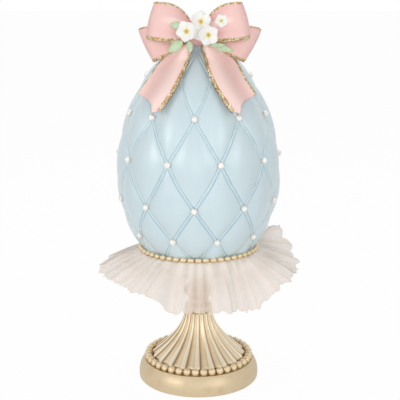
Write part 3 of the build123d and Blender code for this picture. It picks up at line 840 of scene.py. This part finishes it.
class OrnamentBeads(bpy.types.Operator):
    """String the gold beads round the plinth and under the egg"""

    bl_idname = "ornament.beads"
    bl_label = "Bead rows"

    def execute(self, context):
        stand = context.scene.ornament_stand
        paints = context.scene.ornament_paints
        finish = gold_paint("bead_gold", paints, paints.bead, smooth=0.24)
        plinth_sunk = 0.0007
        sizes = {
            "base_beads": (stand.base_bead_radius, stand.base_beads, stand.base_bead_turn, plinth_sunk),
            "egg_beads": (stand.egg_bead_radius, stand.egg_beads, 0.0, 0.0),
        }
        for node, (radius, count, first, sunk) in sizes.items():
            low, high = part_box(node)
            reach = max(high.x, -low.y) - 0.95 * radius
            # The beads' marks place their painted shade and highlights
            part, hollow = bead_row(reach, (low.z + high.z) / 2 - sunk, radius, count, first)
            new_piece(node.replace("_", "_row_of_"), part, finish, [node], {"hollow": hollow})
        return {"FINISHED"}


def give_finish(node, finish):
    """A carried-over node takes a finish in its own slots."""
    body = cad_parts[node]
    if not body.material_slots:
        body.data.materials.append(finish)
    for slot in body.material_slots:
        slot.material = finish


def fluted_trumpet(stand):
    """Foot with soft flutes that shrink towards the neck, bored for its rod, and its marks of painted shade
    and painted highlight.
    """
    low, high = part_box("fluted_foot")
    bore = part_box("tie_rod")[1].x + FIT
    steps_per_flute = 28
    around = all_round(steps_per_flute * stand.flutes)[None, :]
    phase = np.radians(stand.flutes * (around - stand.flute_turn))
    wave, lean = np.cos(phase), np.sin(phase)
    rim, tall = stand.foot_rim, high.z - low.z
    rise = np.concatenate([np.linspace(0, rim, 8)[:-1], np.linspace(rim, tall, 60)])
    climb = np.clip((rise - rim) / (tall - rim), 0, 1)
    radius = stand.foot_top + (high.x - stand.foot_top) * (1 - climb) ** stand.foot_flare
    # The turn from the rim into the flare is rounded off
    radius[6:10] = np.convolve(radius, (0.2, 0.6, 0.2), "same")[6:10]
    depth = stand.flute_depth * np.minimum(1, 0.5 + climb)[:, None]
    hollow = ((1 - wave) / 2) ** 0.8
    outside = on_ring(radius[:, None] * (1 - depth * hollow), around, (low.z + rise)[:, None])
    inside = [on_ring(bore, around, np.full((1, 1), level)) for level in (high.z, low.z)]
    rings = np.concatenate([outside, *inside])
    # Painted light by the flute's wave, from the middle of a flute (-1) to the top of a ridge (1): painted
    # shade above nought, darkest in a line on the flank beside the ridge, and painted highlight below nought,
    # brightest on the ridge
    from_hollow = (-1, -0.6, -0.15, 0.1, 0.25, 0.45, 0.7, 1)
    wash_and_shade = np.interp(wave, from_hollow, (-0.15, 0.05, 0.4, 0.95, 0.6, -0.1, -0.7, -1.0))
    # Painted shade and light as from one side: the flank line is weaker beside one side of each ridge, and
    # each hollow is darker on one side and lighter on the other
    wash_and_shade = np.where((lean < 0) & (wash_and_shade > 0), 0.55 * wash_and_shade, wash_and_shade) + 0.4 * lean * (wave < 0.1)
    # Painted light on the lower flutes, which the egg and tulle shade: their marks are lessened towards the
    # rim, except in the darkest lines
    lower_flutes_lit = np.append(0.3 * (1 - climb) ** 2, (0, 0))[:, None]
    return hoop(rings), (wash_and_shade - lower_flutes_lit * (wash_and_shade < 0.3)).ravel()


class OrnamentStand(bpy.types.Operator):
    """Finish the gold stand and lay the felt under it"""

    bl_idname = "ornament.stand"
    bl_label = "Stand"

    def execute(self, context):
        paints, stand = context.scene.ornament_paints, context.scene.ornament_stand
        part, wash_and_shade = fluted_trumpet(stand)
        # Painted light: the foot, shaded by the egg and tulle, takes a lighter copy of the plinth's gold
        foot_gold_painted_lighter = toned(paints.gold, 1.15)
        fluted_gold = gold_paint("fluted_gold", paints, foot_gold_painted_lighter, smooth=0.32, stretch=(26, 40, 1))
        new_piece("fluted_trumpet", part, fluted_gold, ["fluted_foot"], {"hollow": wash_and_shade})
        turned_gold = gold_paint("turned_gold", paints, paints.gold, smooth=0.34)
        for node in ("base_plinth", "neck_collar", "stem_baluster", "egg_cup"):
            give_finish(node, turned_gold)
        low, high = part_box("felt_pad")
        rim, thick = high.x, high.z - low.z
        bevel = 0.0005
        ripple = np.linspace(0, rim - 1.6 * bevel, 14)[1:]
        under = [(r, low.z + 0.00004 * (1 + np.sin(i * 2.2))) for i, r in enumerate(ripple)]
        edge = [(rim, low.z + 0.25 * thick), (rim, low.z + 0.75 * thick), (rim - bevel, high.z)]
        part = turned([(0, low.z), *under, *edge, (0.3 * rim, high.z), (0, high.z)], segments=96)
        felt = new_piece("felt_disc", part, grey_felt(), ["felt_pad"])
        return {"FINISHED"}


class OrnamentFixings(bpy.types.Operator):
    """Finish the hidden rod, nut, washer, insert, plug and pin"""

    bl_idname = "ornament.fixings"
    bl_label = "Fixings"

    def execute(self, context):
        steel = plain_metal("bare_steel", paint(196, 198, 202))
        for node in ("tie_rod", "tie_rod_nut", "tie_rod_washer", "bow_pin"):
            give_finish(node, steel)
        give_finish("threaded_insert", plain_metal("bare_brass", paint(214, 178, 104)))
        give_finish("egg_plug", raw_resin())
        return {"FINISHED"}


# Tulle


def from_front(tulle, around):
    """How far a direction lies from the middle of the front panel, in half widths of the panel."""
    return ((around - tulle.front_turn + 180) % 360 - 180) / tulle.front_spread


def hump(place, middle, spread):
    """A smooth hump that is one at its middle and fades on both sides."""
    return np.exp(-(((place - middle) / spread) ** 2))


def tulle_droop(tulle, around):
    """Fall of the cloth in degrees: steep in the front panel, shallow elsewhere, lifted in one flap."""
    aside = from_front(tulle, around)
    shoulder = 6.0 / (1 + (aside / 1.7) ** 4)
    behind = 7.0 * hump(around, 230, 35)
    side = tulle.side_droop + shoulder + behind
    panel = 1 / (1 + aside**20)
    flap = hump(around, tulle.flap_turn, tulle.flap_spread)
    return side + (tulle.front_droop - side) * panel - tulle.flap_lift * flap


def tulle_points(tulle, around, out, fullness=1.0):
    """Points of the cloth from its band (out 0) to its hem (out 1), and its folds, as full as given."""
    droop = tulle_droop(tulle, around) + 2.5 * wander(around, seed=5, slowest=6, fastest=16)
    droop = np.radians(droop * (0.98 + 0.1 * out))
    phase = tulle.folds * np.radians(around) + 1.8 * wander(around, seed=11, slowest=3, fastest=9)
    fine = 2.1 * phase + 2.0 * wander(around, seed=23, slowest=5, fastest=13)
    size = fullness * tulle.fold_height * (0.8 + 0.4 * wander(around, seed=31, slowest=5, fastest=17))
    fold = np.sin(phase)
    pucker = 0.00018 * fullness * np.sin(fine) * np.minimum(1, 5 * out)
    arch = 0.0016 * out * (1 - out)
    lift = arch + size * fold * out**1.1 + pucker
    aside = from_front(tulle, around)
    panel = (0.03 + 0.03 * aside + 0.05 * aside**2) / (1 + aside**12)
    scallop = (0.032 * fold + 0.022 * np.sin(fine)) * out**4
    reach = tulle.width * out * (1 + panel + 0.03 * wander(around, seed=47, slowest=14, fastest=24) + scallop)
    radius = BAND_HIGH.x + 5 * FIT + reach * np.cos(droop) + lift * np.sin(droop)
    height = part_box("egg_beads")[0].z + FIT - reach * np.sin(droop) + lift * np.cos(droop)
    sway = np.degrees(0.0005 * out * np.sin(2 * phase) / radius)
    return on_ring(radius, around + sway, height), fold


def shade_as_net(piece, points, lean):
    """Shade a closed sheet by a smoother one that leans as given, because open net scatters light."""
    along = np.roll(points, -1, axis=0) - np.roll(points, 1, axis=0)
    soft = unit(np.cross(along, np.gradient(points, axis=1)))
    own = np.empty(soft.size, np.float32)
    piece.data.vertex_normals.foreach_get("vector", own)
    facing = np.sign(np.sum(soft * own.reshape(soft.shape)))
    soft = unit(facing * soft + lean).reshape(-1, 3)
    piece.data.normals_split_custom_set_from_vertices([tuple(normal) for normal in soft])


class OrnamentTulle(bpy.types.Operator):
    """Gather the tulle onto its band under the egg"""

    bl_idname = "ornament.tulle"
    bl_label = "Tulle"

    def execute(self, context):
        tulle, paints = context.scene.ornament_tulle, context.scene.ornament_paints
        cut = (CUT_LENGTH, tulle.width)
        skirt = self.skirt(tulle, tulle_ivory(tulle, paints), cut)
        band = self.band(woven_band(paints))
        return {"FINISHED"}

    def skirt(self, tulle, net, cut):
        """The folded net, shaded as a softer sheet that leans outward and to the front."""
        shape = 20 * tulle.folds, 22
        around = all_round(shape[0])[:, None]
        out = np.linspace(0, 1, shape[1])[None, :] ** 0.9
        points, fold = tulle_points(tulle, around, out)
        marks = {"along": around / 360 * cut[0], "out": out * cut[1], "fold": fold}
        marks = {key: np.broadcast_to(value, shape).ravel() for key, value in marks.items()}
        part = points.reshape(-1, 3), grid_faces(*shape, closed_long=True)
        skirt = new_piece("tulle_skirt", part, net, ["tulle_ruffle"], marks, outward=False)
        in_front = np.clip(0.6 + np.cos(np.radians(around)), 0, 1)[..., None]
        lean = 0.4 * on_ring(1.0, around, 0.3) + in_front * np.array([0, -1.2, 0.3])
        softer = tulle_points(tulle, around, out, 0.35)[0]
        shade_as_net(skirt, softer, lean)
        return skirt

    def band(self, finish):
        """The narrow ribbon, a little rippled, that the net is gathered on."""
        ring = all_round(360)
        ripple = 0.00012 * np.sin(np.radians(ring) * 72)
        tall = BAND_HIGH.z - BAND_LOW.z
        outside = []
        for level in np.linspace(0, 1, 6):
            radius = BAND_HIGH.x - 0.62 * tall * (1 - level)
            outside.append(on_ring(radius + ripple, ring, BAND_LOW.z + tall * level))
        thick = 0.0007
        inside = [points - on_ring(thick, ring, 0.0) for points in outside[::-1]]
        rings = np.stack(outside + inside)
        return new_piece("gathering_band", hoop(rings), finish, ["tulle_band"])


# Bow

# Inner and outer edge of each tail from the knot down, aside and up from the knot's lower side
TAIL_EDGES = {
    "left": (
        [(0.0042, 0.0020), (0.0054, -0.0055), (0.0088, -0.0142), (0.0148, -0.0252), (0.0219, -0.0352)],
        [(0.0076, 0.0020), (0.0156, -0.0020), (0.0232, -0.0100), (0.0292, -0.0186), (0.0352, -0.0274)],
    ),
    "right": (
        [(0.0024, 0.0020), (0.0038, -0.0055), (0.0062, -0.0144), (0.0116, -0.0250), (0.0192, -0.0356)],
        [(0.0070, 0.0020), (0.0150, -0.0014), (0.0216, -0.0082), (0.0272, -0.0186), (0.0335, -0.0277)],
    ),
}


def held_off(egg, points, lift):
    """Points kept a lift clear of the egg by moving them to the front."""
    reach = egg_radius_at(egg, points[..., 2]) + lift
    depth = np.sqrt(np.maximum(reach**2 - points[..., 0] ** 2, 0))
    inside = np.hypot(points[..., 0], points[..., 1]) < reach
    kept = points.copy()
    kept[..., 1] = np.where(inside, np.minimum(points[..., 1], -depth), points[..., 1])
    return kept


def loop_line(bow):
    """Height that the loops and leaves are set out from."""
    return bow.height - 0.0003


def loop_grid(reach, low, high, middle_y, half_depth, pleat):
    """Middle surface of a loop: out from the knot at the front, round its tip and back behind."""
    turn, out, across = LOOP_TURN, LOOP_OUT, LOOP_ACROSS
    x = LOOP_ROOT + (reach - LOOP_ROOT) * out
    fullest = 0.77
    bulge = np.sin(turn) * np.sin(turn / 2) / fullest
    crown = 1 + 0.35 * (1 - (2 * across - 1) ** 2) * out
    fold = np.cos(2 * np.pi * (1.5 * across + 0.15)) * (1 - out) ** 0.9
    y = middle_y - half_depth * bulge * crown - pleat * fold * np.sign(np.pi - turn)
    z = low + (high - low) * across
    # The second value places painted light: painted shade at the tip and where the pleats sink back, painted
    # highlight where they stand forward
    return np.stack(np.broadcast_arrays(x, y, z), axis=-1), np.broadcast_to(0.5 * out**5 - fold, x.shape)


def glitter_edge(path, outward, half_width, half_height, seed):
    """A rough gold edge along a ribbon, as wide as given at each point, and the marks of its rims."""
    steps = np.linalg.norm(np.diff(path, axis=0), axis=1)
    place = np.concatenate([[0], np.cumsum(steps)])
    spacing, roughness, sides = 0.00045, 0.00009, 12
    even = np.linspace(0, place[-1], int(place[-1] / spacing))
    fine = np.stack([np.interp(even, place, path[:, k]) for k in range(3)], axis=-1)
    out = unit(np.stack([np.interp(even, place, outward[:, k]) for k in range(3)], axis=-1))
    points, faces = tube(fine, out, np.interp(even, place, half_width), half_height, sides)
    lumps = np.random.default_rng(seed).normal(0, roughness, points.shape)
    rim = np.abs(np.cos(2 * np.pi * np.arange(sides) / sides))
    return (points + lumps, faces), {"rim": np.tile(rim, len(fine))}


class OrnamentBow(bpy.types.Operator):
    """Model the bow's loops, tails, knot and gold edges"""

    bl_idname = "ornament.bow"
    bl_label = "Bow"

    def execute(self, context):
        scene = context.scene
        bow, egg = scene.ornament_bow, scene.ornament_egg
        pink = ribbon_pink(scene.ornament_paints)
        edges = []
        out = LOOP_OUT[:, 0]
        along = np.linspace(0, 1, TAIL_STEPS)
        for side, hand in ((-1, "left"), (1, "right")):
            shapes = {
                "upper_loop": (self.upper_loop(bow), 1.2 + 0.2 * out, 0.6 + 0.25 * out),
                "lower_loop": (self.lower_loop(bow, egg, side), 0.5 + 0.9 * out**2, 0.4 + 0.2 * out),
                "tail": (self.tail(bow, egg, hand), 0.95 + 0.5 * along, 1.15 + 0.3 * side - 0.15 * along),
            }
            for kind, ((grid, fold), first_edge, last_edge) in shapes.items():
                grid = grid * np.array([side, 1, 1])
                part = strip(grid, bow.thickness)
                marks = strip_marks(fold.shape, fold=fold)
                new_piece(f"ribbon_{kind}_{hand}", part, pink, [f"bow_{kind}_{hand}"], marks)
                facing = faced(grid)
                inset = 1 if kind == "tail" else 0
                for j, wide in ((inset, first_edge), (-1, last_edge)):
                    sizes = wide * bow.edge_width, 0.6 * bow.thickness
                    edges.append(glitter_edge(grid[:, j], facing[:, j], *sizes, seed=len(edges)))
        part, marks = joined_with_marks(edges)
        glitter = edge_glitter(scene.ornament_paints)
        new_piece("ribbon_gold_edges", part, glitter, marks=marks)
        self.knot(bow, egg, pink)
        return {"FINISHED"}

    def upper_loop(self, bow):
        """Loop that stands up beside the knot."""
        reach = bow.upper_reach - 0.0044 * LOOP_ACROSS**1.9
        low = loop_line(bow) - 0.0042 + 0.0022 * LOOP_OUT**1.8
        high = loop_line(bow) + 0.0076 + 0.0091 * (1 - (1 - LOOP_OUT) ** 3.2)
        middle_y = -bow.front + 0.0045
        return loop_grid(reach, low, high, middle_y, half_depth=0.0050, pleat=0.0008)

    def lower_loop(self, bow, egg, side):
        """Loop that hangs beside the knot, laid on the egg."""
        slant = 0.0084 + 0.0006 * side
        reach = bow.lower_reach + 0.0009 * side - slant * (1 - LOOP_ACROSS) ** 1.3
        low = loop_line(bow) - 0.0072 - 0.0088 * LOOP_OUT**1.15
        high = loop_line(bow) + 0.0015 + 0.0040 * (1 - LOOP_OUT) ** 0.5
        middle_y = -bow.front + 0.0155
        grid, fold = loop_grid(reach, low, high, middle_y, half_depth=0.0052, pleat=0.0006)
        return held_off(egg, grid, lift=0.0034), fold

    def tail(self, bow, egg, hand):
        """Ribbon end that falls from the knot onto the egg, creased lengthways, longer on its inner side."""
        top = bow.height - 0.0085
        inner, outer = (curve_through(edge, TAIL_STEPS) + (0, top) for edge in TAIL_EDGES[hand])
        across = np.linspace(0, 1, 25)[None, :]
        along = np.linspace(0, 1, TAIL_STEPS)[:, None]
        flat = inner[:, None] + (outer - inner)[:, None] * across[..., None]
        point = 0.0034 * hump(across, 0.2, 0.11) - 0.0005 * hump(across, 0.58, 0.14)
        flat = flat + unit(inner[-1] - inner[-9]) * (point * along**6)[..., None]
        crease = np.sin(np.pi * (2.4 * across - 0.35 + 0.25 * along))
        lift = 0.0018 + 0.0010 * crease * np.sqrt(along) + 0.0036 * along**3 * (1 - 0.5 * across)
        x, z = flat[..., 0], flat[..., 1]
        reach = egg_radius_at(egg, z) + lift
        laid = -np.sqrt(np.maximum(reach**2 - x**2, 1e-8))
        hung = np.minimum(laid, -bow.front + 0.0075 - 0.0006 * crease)
        settled = np.clip((along - 0.05) / 0.55, 0, 1)
        settled = settled**2 * (3 - 2 * settled)
        y = hung + (laid - hung) * settled
        # The second value is a painted highlight over the whole tail, strongest on its raised creases
        return np.stack([x, y, z], axis=-1), np.broadcast_to(-0.38 - 0.2 * crease, x.shape)

    def knot(self, bow, egg, finish):
        """Cushioned knot with upright gathers, kept clear of the egg."""
        half = (KNOT_HIGH - KNOT_LOW) / 2
        levels, turns = 25, 72
        level = np.linspace(-1, 1, levels)[:, None]
        turn = np.linspace(0, 2 * np.pi, turns, endpoint=False)[None, :]
        boxy, gathers = 3.2, 9
        swell = (1 - np.abs(level) ** boxy) ** 0.4 * 0.9 + 0.1
        gather = 1 - 0.035 * np.cos(gathers * turn) * (1 - 0.4 * level**2)
        square = (np.abs(np.cos(turn)) ** boxy + np.abs(np.sin(turn)) ** boxy) ** (-1 / boxy)
        girth = 0.97 * swell * gather * square
        x = half.x * girth * np.cos(turn)
        back = 0.0075 * np.maximum(-level, 0) ** 1.4
        deep = 0.0065
        y = -bow.front + deep + back + deep * girth * np.sin(turn)
        z = np.broadcast_to(bow.height + half.z * level, x.shape)
        points = held_off(egg, np.stack([x, y, z], axis=-1), lift=0.0026)
        last = (levels - 1) * turns
        caps = [tuple(start + i for i in range(turns)) for start in (0, last)]
        part = points.reshape(-1, 3), grid_faces(levels, turns, closed_across=True) + caps
        # A mark of one gives the whole knot the darker pink
        new_piece("ribbon_knot", part, finish, ["bow_knot"], {"fold": np.ones(levels * turns)})


# Flowers and leaves


def petal(radius, tilt, seed):
    """One cupped petal along X: its strip, and marks for the yellow heart and the veins."""
    choice = np.random.default_rng(seed)
    along = np.linspace(0.04, 0.985, 12)[:, None]
    across = np.linspace(-1, 1, 9)[None, :]
    wide = 0.47 * radius * np.sin(np.pi * along**1.35) ** 0.65 * (0.96 + 0.08 * choice.random())
    x = radius * along * (1.0 - 0.06 * across**2)
    y = wide * across
    z = 0.24 * radius * along**2 + 0.10 * radius * across * along + tilt * radius * along
    z = z + 0.03 * radius * np.sin(3 * across + choice.uniform(0, 6)) * along
    grid = np.stack(np.broadcast_arrays(x, y, z), axis=-1)
    return strip(grid, thickness=0.00042), strip_marks(x.shape, heart=along, vein=across)


def about_z(part, around):
    c, s = np.cos(np.radians(around)), np.sin(np.radians(around))
    return part[0] @ np.array([[c, s, 0], [-s, c, 0], [0, 0, 1]]), part[1]


class OrnamentFlowers(bpy.types.Operator):
    """Make the flowers with their hearts"""

    bl_idname = "ornament.flowers"
    bl_label = "Flowers"

    def execute(self, context):
        scene = context.scene
        shape, bow = scene.ornament_flowers, scene.ornament_bow
        white, hearts = petal_white(scene.ornament_paints), []
        bunch = {
            "flower_top": (0.0013, 0.0062, 0.0004, (0.1, -1, 0.3), shape.radius),
            "flower_left": (-0.0066, 0.0009, 0.0035, (-0.25, -1, 0.0), shape.radius),
            "flower_right": (0.0056, -0.0011, 0.0035, (0.2, -1, -0.1), shape.radius),
            "flower_small_right": (0.0132, 0.0068, 0.0015, (0.1, -1, 0.0), shape.small_radius),
            "flower_small_lower": (0.0006, -0.0006, 0.0028, (0.0, -1, -0.2), shape.small_radius),
        }
        for k, (node, (x, z, step, facing, radius)) in enumerate(bunch.items()):
            place = np.array([x, -bow.front - step, bow.height + z])
            petals = []
            for i in range(shape.petals):
                part, marks = petal(radius, tilt=0.015 * i, seed=10 * k + i)
                turn = 90 + 12 * k + 360 * i / shape.petals
                petals.append((set_on(about_z(part, turn), place, facing), marks))
            stub = [(0, -step), (0.2 * radius, -step), (0.16 * radius, -0.1 * step)]
            stub += scaled(radius, [(0.22, 0.05), (0, 0.05)])
            post = set_on(turned(stub, segments=14), place, facing)
            unveined = np.zeros(len(post[0]))
            petals.append((post, {"heart": unveined + 0.6, "vein": unveined}))
            part, marks = joined_with_marks(petals)
            new_piece(node.replace("flower", "blossom"), part, white, [node], marks)
            hearts.append(set_on(self.heart(radius), place, facing))
        yellow = flower_yellow(scene.ornament_paints)
        new_piece("blossom_hearts", joined(hearts), yellow, ["flower_centres"])
        return {"FINISHED"}

    def heart(self, radius):
        """A low dome with two rings of small stamens."""
        dome = scaled(radius, [(0, 0.03), (0.11, 0.04), (0.1, 0.1), (0.05, 0.14), (0, 0.15)])
        stamen = scaled(radius, [(0, -0.05), (0.05, 0), (0.045, 0.04), (0, 0.06)])
        points, faces = turned(stamen, segments=8)
        parts = [turned(dome, segments=14)]
        for ring, stamens, high in ((0.07, 5, 0.13), (0.15, 8, 0.1)):
            for i in range(stamens):
                place = on_ring(ring * radius, 360 * i / stamens, high * radius)
                parts.append((points + place, faces))
        return joined(parts)


def leaf(base, tip, y, bend, slim):
    """Pointed leaf between two places on the bow's front: strip and marks for its rib and veins."""
    base, tip = np.array(base), np.array(tip)
    size = np.linalg.norm(tip - base)
    run = (tip - base) / size
    along = np.linspace(0.02, 0.985, 20)[:, None]
    across = np.linspace(-1, 1, 9)[None, :]
    wide = slim * size * np.sin(np.pi * along**0.85) ** 0.85 * (1 + 0.05 * np.sin(30 * along))
    forward = bend * size * np.sin(np.pi * along * 0.9) + 0.10 * size * np.abs(across) * np.sin(np.pi * along)
    flat = base + run * (along * size)[..., None] + np.array([-run[1], run[0]]) * (wide * across)[..., None]
    grid = np.stack([flat[..., 0], y - forward, flat[..., 1]], axis=-1)
    from_rib = np.abs(across)
    marks = strip_marks(grid.shape[:2], rib=from_rib, vein=along + 0.35 * from_rib)
    return strip(grid, thickness=0.0005), marks


class OrnamentLeaves(bpy.types.Operator):
    """Lay the leaves beside the flowers"""

    bl_idname = "ornament.leaves"
    bl_label = "Leaves"

    def execute(self, context):
        scene = context.scene
        bow = scene.ornament_bow
        middle = loop_line(bow)
        low = middle - 0.004
        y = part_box("leaf_middle")[1].y - 0.0004
        green = leaf_green(scene.ornament_paints)
        plan = {
            "leaf_upper_left": [((-0.0090, middle + 0.0044), (-0.0164, middle + 0.0046))],
            "leaf_lower_left": [((-0.0090, low - 0.0004), (-0.0172, low - 0.0066))],
            "leaf_middle": [((-0.0053, low), (-0.0046, low - 0.0068))],
            "leaf_sprig_right": [
                ((0.0050, low - 0.0006), (0.0128, low - 0.0040)),
                ((0.0110, low - 0.0036), (0.0204, low - 0.0060)),
                ((0.0092, low - 0.0026), (0.0158, low - 0.0026)),
                ((0.0104, low - 0.0034), (0.0150, low - 0.0066)),
            ],
        }
        for node, places in plan.items():
            slim = 0.26 if len(places) == 1 else 0.16
            blades = [leaf(base, tip, y, 0.05 + 0.03 * i, slim) for i, (base, tip) in enumerate(places)]
            part, marks = joined_with_marks(blades)
            new_piece(node.replace("leaf", "foliage"), part, green, [node], marks)
        return {"FINISHED"}


# Stage


def soft_lamp(name, place, size, power):
    """A round lamp aimed at the middle of the ornament."""
    data = bpy.data.lights.new(name, "AREA")
    data.shape = "DISK"
    data.size = size
    data.energy = power
    lamp = add_object(name, data)
    lamp.location = place
    aim = Vector((0, 0, LAMP_AIM)) - Vector(place)
    lamp.rotation_euler = aim.to_track_quat("-Z", "Y").to_euler()
    return lamp


def seen_directly(tree):
    """One for the rays that should meet the white background, nought for light on the ornament."""
    path = add_node(tree, "LightPath").outputs
    either = reckon(tree, "MAXIMUM", path["Is Camera Ray"], path["Is Glossy Ray"])
    return reckon(tree, "MAXIMUM", either, path["Is Transmission Ray"])


class OrnamentStage(bpy.types.Operator):
    """Set the camera, lamps, white surround and floor"""

    bl_idname = "ornament.stage"
    bl_label = "Stage"

    def execute(self, context):
        scene, studio = context.scene, context.scene.ornament_studio
        scene.view_settings.view_transform = "Standard"
        data = bpy.data.cameras.new("studio_camera")
        data.lens, data.sensor_width = studio.lens, 36.0
        camera = add_object("studio_camera", data)
        camera.location = studio.camera_place
        camera.rotation_euler = (np.radians(90 - studio.camera_pitch), 0, 0)
        scene.camera = camera
        soft_lamp("key_lamp", (-1.10, -1.02, 0.58), size=0.66, power=studio.key_power)
        soft_lamp("fill_lamp", (0.88, -1.18, 0.58), size=0.66, power=studio.fill_power)
        front = soft_lamp("front_lamp", (0.0, -1.4, 0.34), size=0.6, power=studio.front_power)
        front.visible_glossy = False
        soft_lamp("top_lamp", (0.0, 0.15, 1.2), size=0.8, power=studio.top_power)
        self.surround(scene, studio)
        self.floor()
        return {"FINISHED"}

    def surround(self, scene, studio):
        """White background, and even light of the set strength on the ornament."""
        world = bpy.data.worlds.new("white_surround")
        scene.world = world
        world.use_nodes = True
        tree = world.node_tree
        strength = {"Value": seen_directly(tree), "To Min": studio.surround, "To Max": 1.0}
        inputs = {"Color": WHITE, "Strength": add_node(tree, "MapRange", strength).outputs[0]}
        feed(tree, tree.nodes["Background"], inputs)

    def floor(self):
        """A pale floor that takes shadows and fades into the white background."""
        material, tree = new_finish("pale_floor", Base_Color=(0.92, 0.92, 0.92, 1), Roughness=0.9)
        shader = tree.nodes["Principled BSDF"]
        glow = add_node(tree, "Emission", {"Color": WHITE, "Strength": 1.0}).outputs[0]
        most_fade = 0.97
        fade = reckon(tree, "MULTIPLY", seen_directly(tree), most_fade)
        blend = add_node(tree, "MixShader", {0: fade, 1: shader.outputs[0], 2: glow}).outputs[0]
        feed(tree, tree.nodes["Material Output"], {"Surface": blend})
        mesh = bpy.data.meshes.new("pale_floor")
        side = 60.0
        corners = [(side * x, side * y, 0) for x, y in ((-1, -1), (1, -1), (1, 1), (-1, 1))]
        mesh.from_pydata(corners, [], [(0, 1, 2, 3)])
        mesh.materials.append(material)
        floor = add_object("pale_floor", mesh)


STEPS = (
    OrnamentStage,
    OrnamentShell,
    OrnamentPearls,
    OrnamentBeads,
    OrnamentStand,
    OrnamentFixings,
    OrnamentTulle,
    OrnamentBow,
    OrnamentFlowers,
    OrnamentLeaves,
)

GROUPS = {
    "ornament_egg": EggShape,
    "ornament_stand": StandShape,
    "ornament_tulle": TulleShape,
    "ornament_bow": BowShape,
    "ornament_flowers": FlowerShape,
    "ornament_paints": Paints,
    "ornament_studio": Studio,
}


class OrnamentPanel(bpy.types.Panel):
    """Sizes, colours and steps of the ornament"""

    bl_idname = "VIEW3D_PT_ornament"
    bl_label = "Egg ornament"
    bl_space_type = "VIEW_3D"
    bl_region_type = "UI"
    bl_category = "Egg"

    def draw(self, context):
        for name, group in GROUPS.items():
            box = self.layout.box()
            box.label(text=group.__doc__)
            for prop in group.__annotations__:
                box.prop(getattr(context.scene, name), prop)
        for step in STEPS:
            self.layout.operator(step.bl_idname)


def register():
    for group in GROUPS.values():
        bpy.utils.register_class(group)
    for name, group in GROUPS.items():
        setattr(bpy.types.Scene, name, PointerProperty(type=group))
    for step in STEPS:
        bpy.utils.register_class(step)
    bpy.utils.register_class(OrnamentPanel)


def unregister():
    bpy.utils.unregister_class(OrnamentPanel)
    for step in reversed(STEPS):
        bpy.utils.unregister_class(step)
    for name, group in GROUPS.items():
        delattr(bpy.types.Scene, name)
        bpy.utils.unregister_class(group)


def main():
    register()
    for step in STEPS:
        category, name = step.bl_idname.split(".")
        getattr(getattr(bpy.ops, category), name)()


if __name__ == "__main__":
    main()
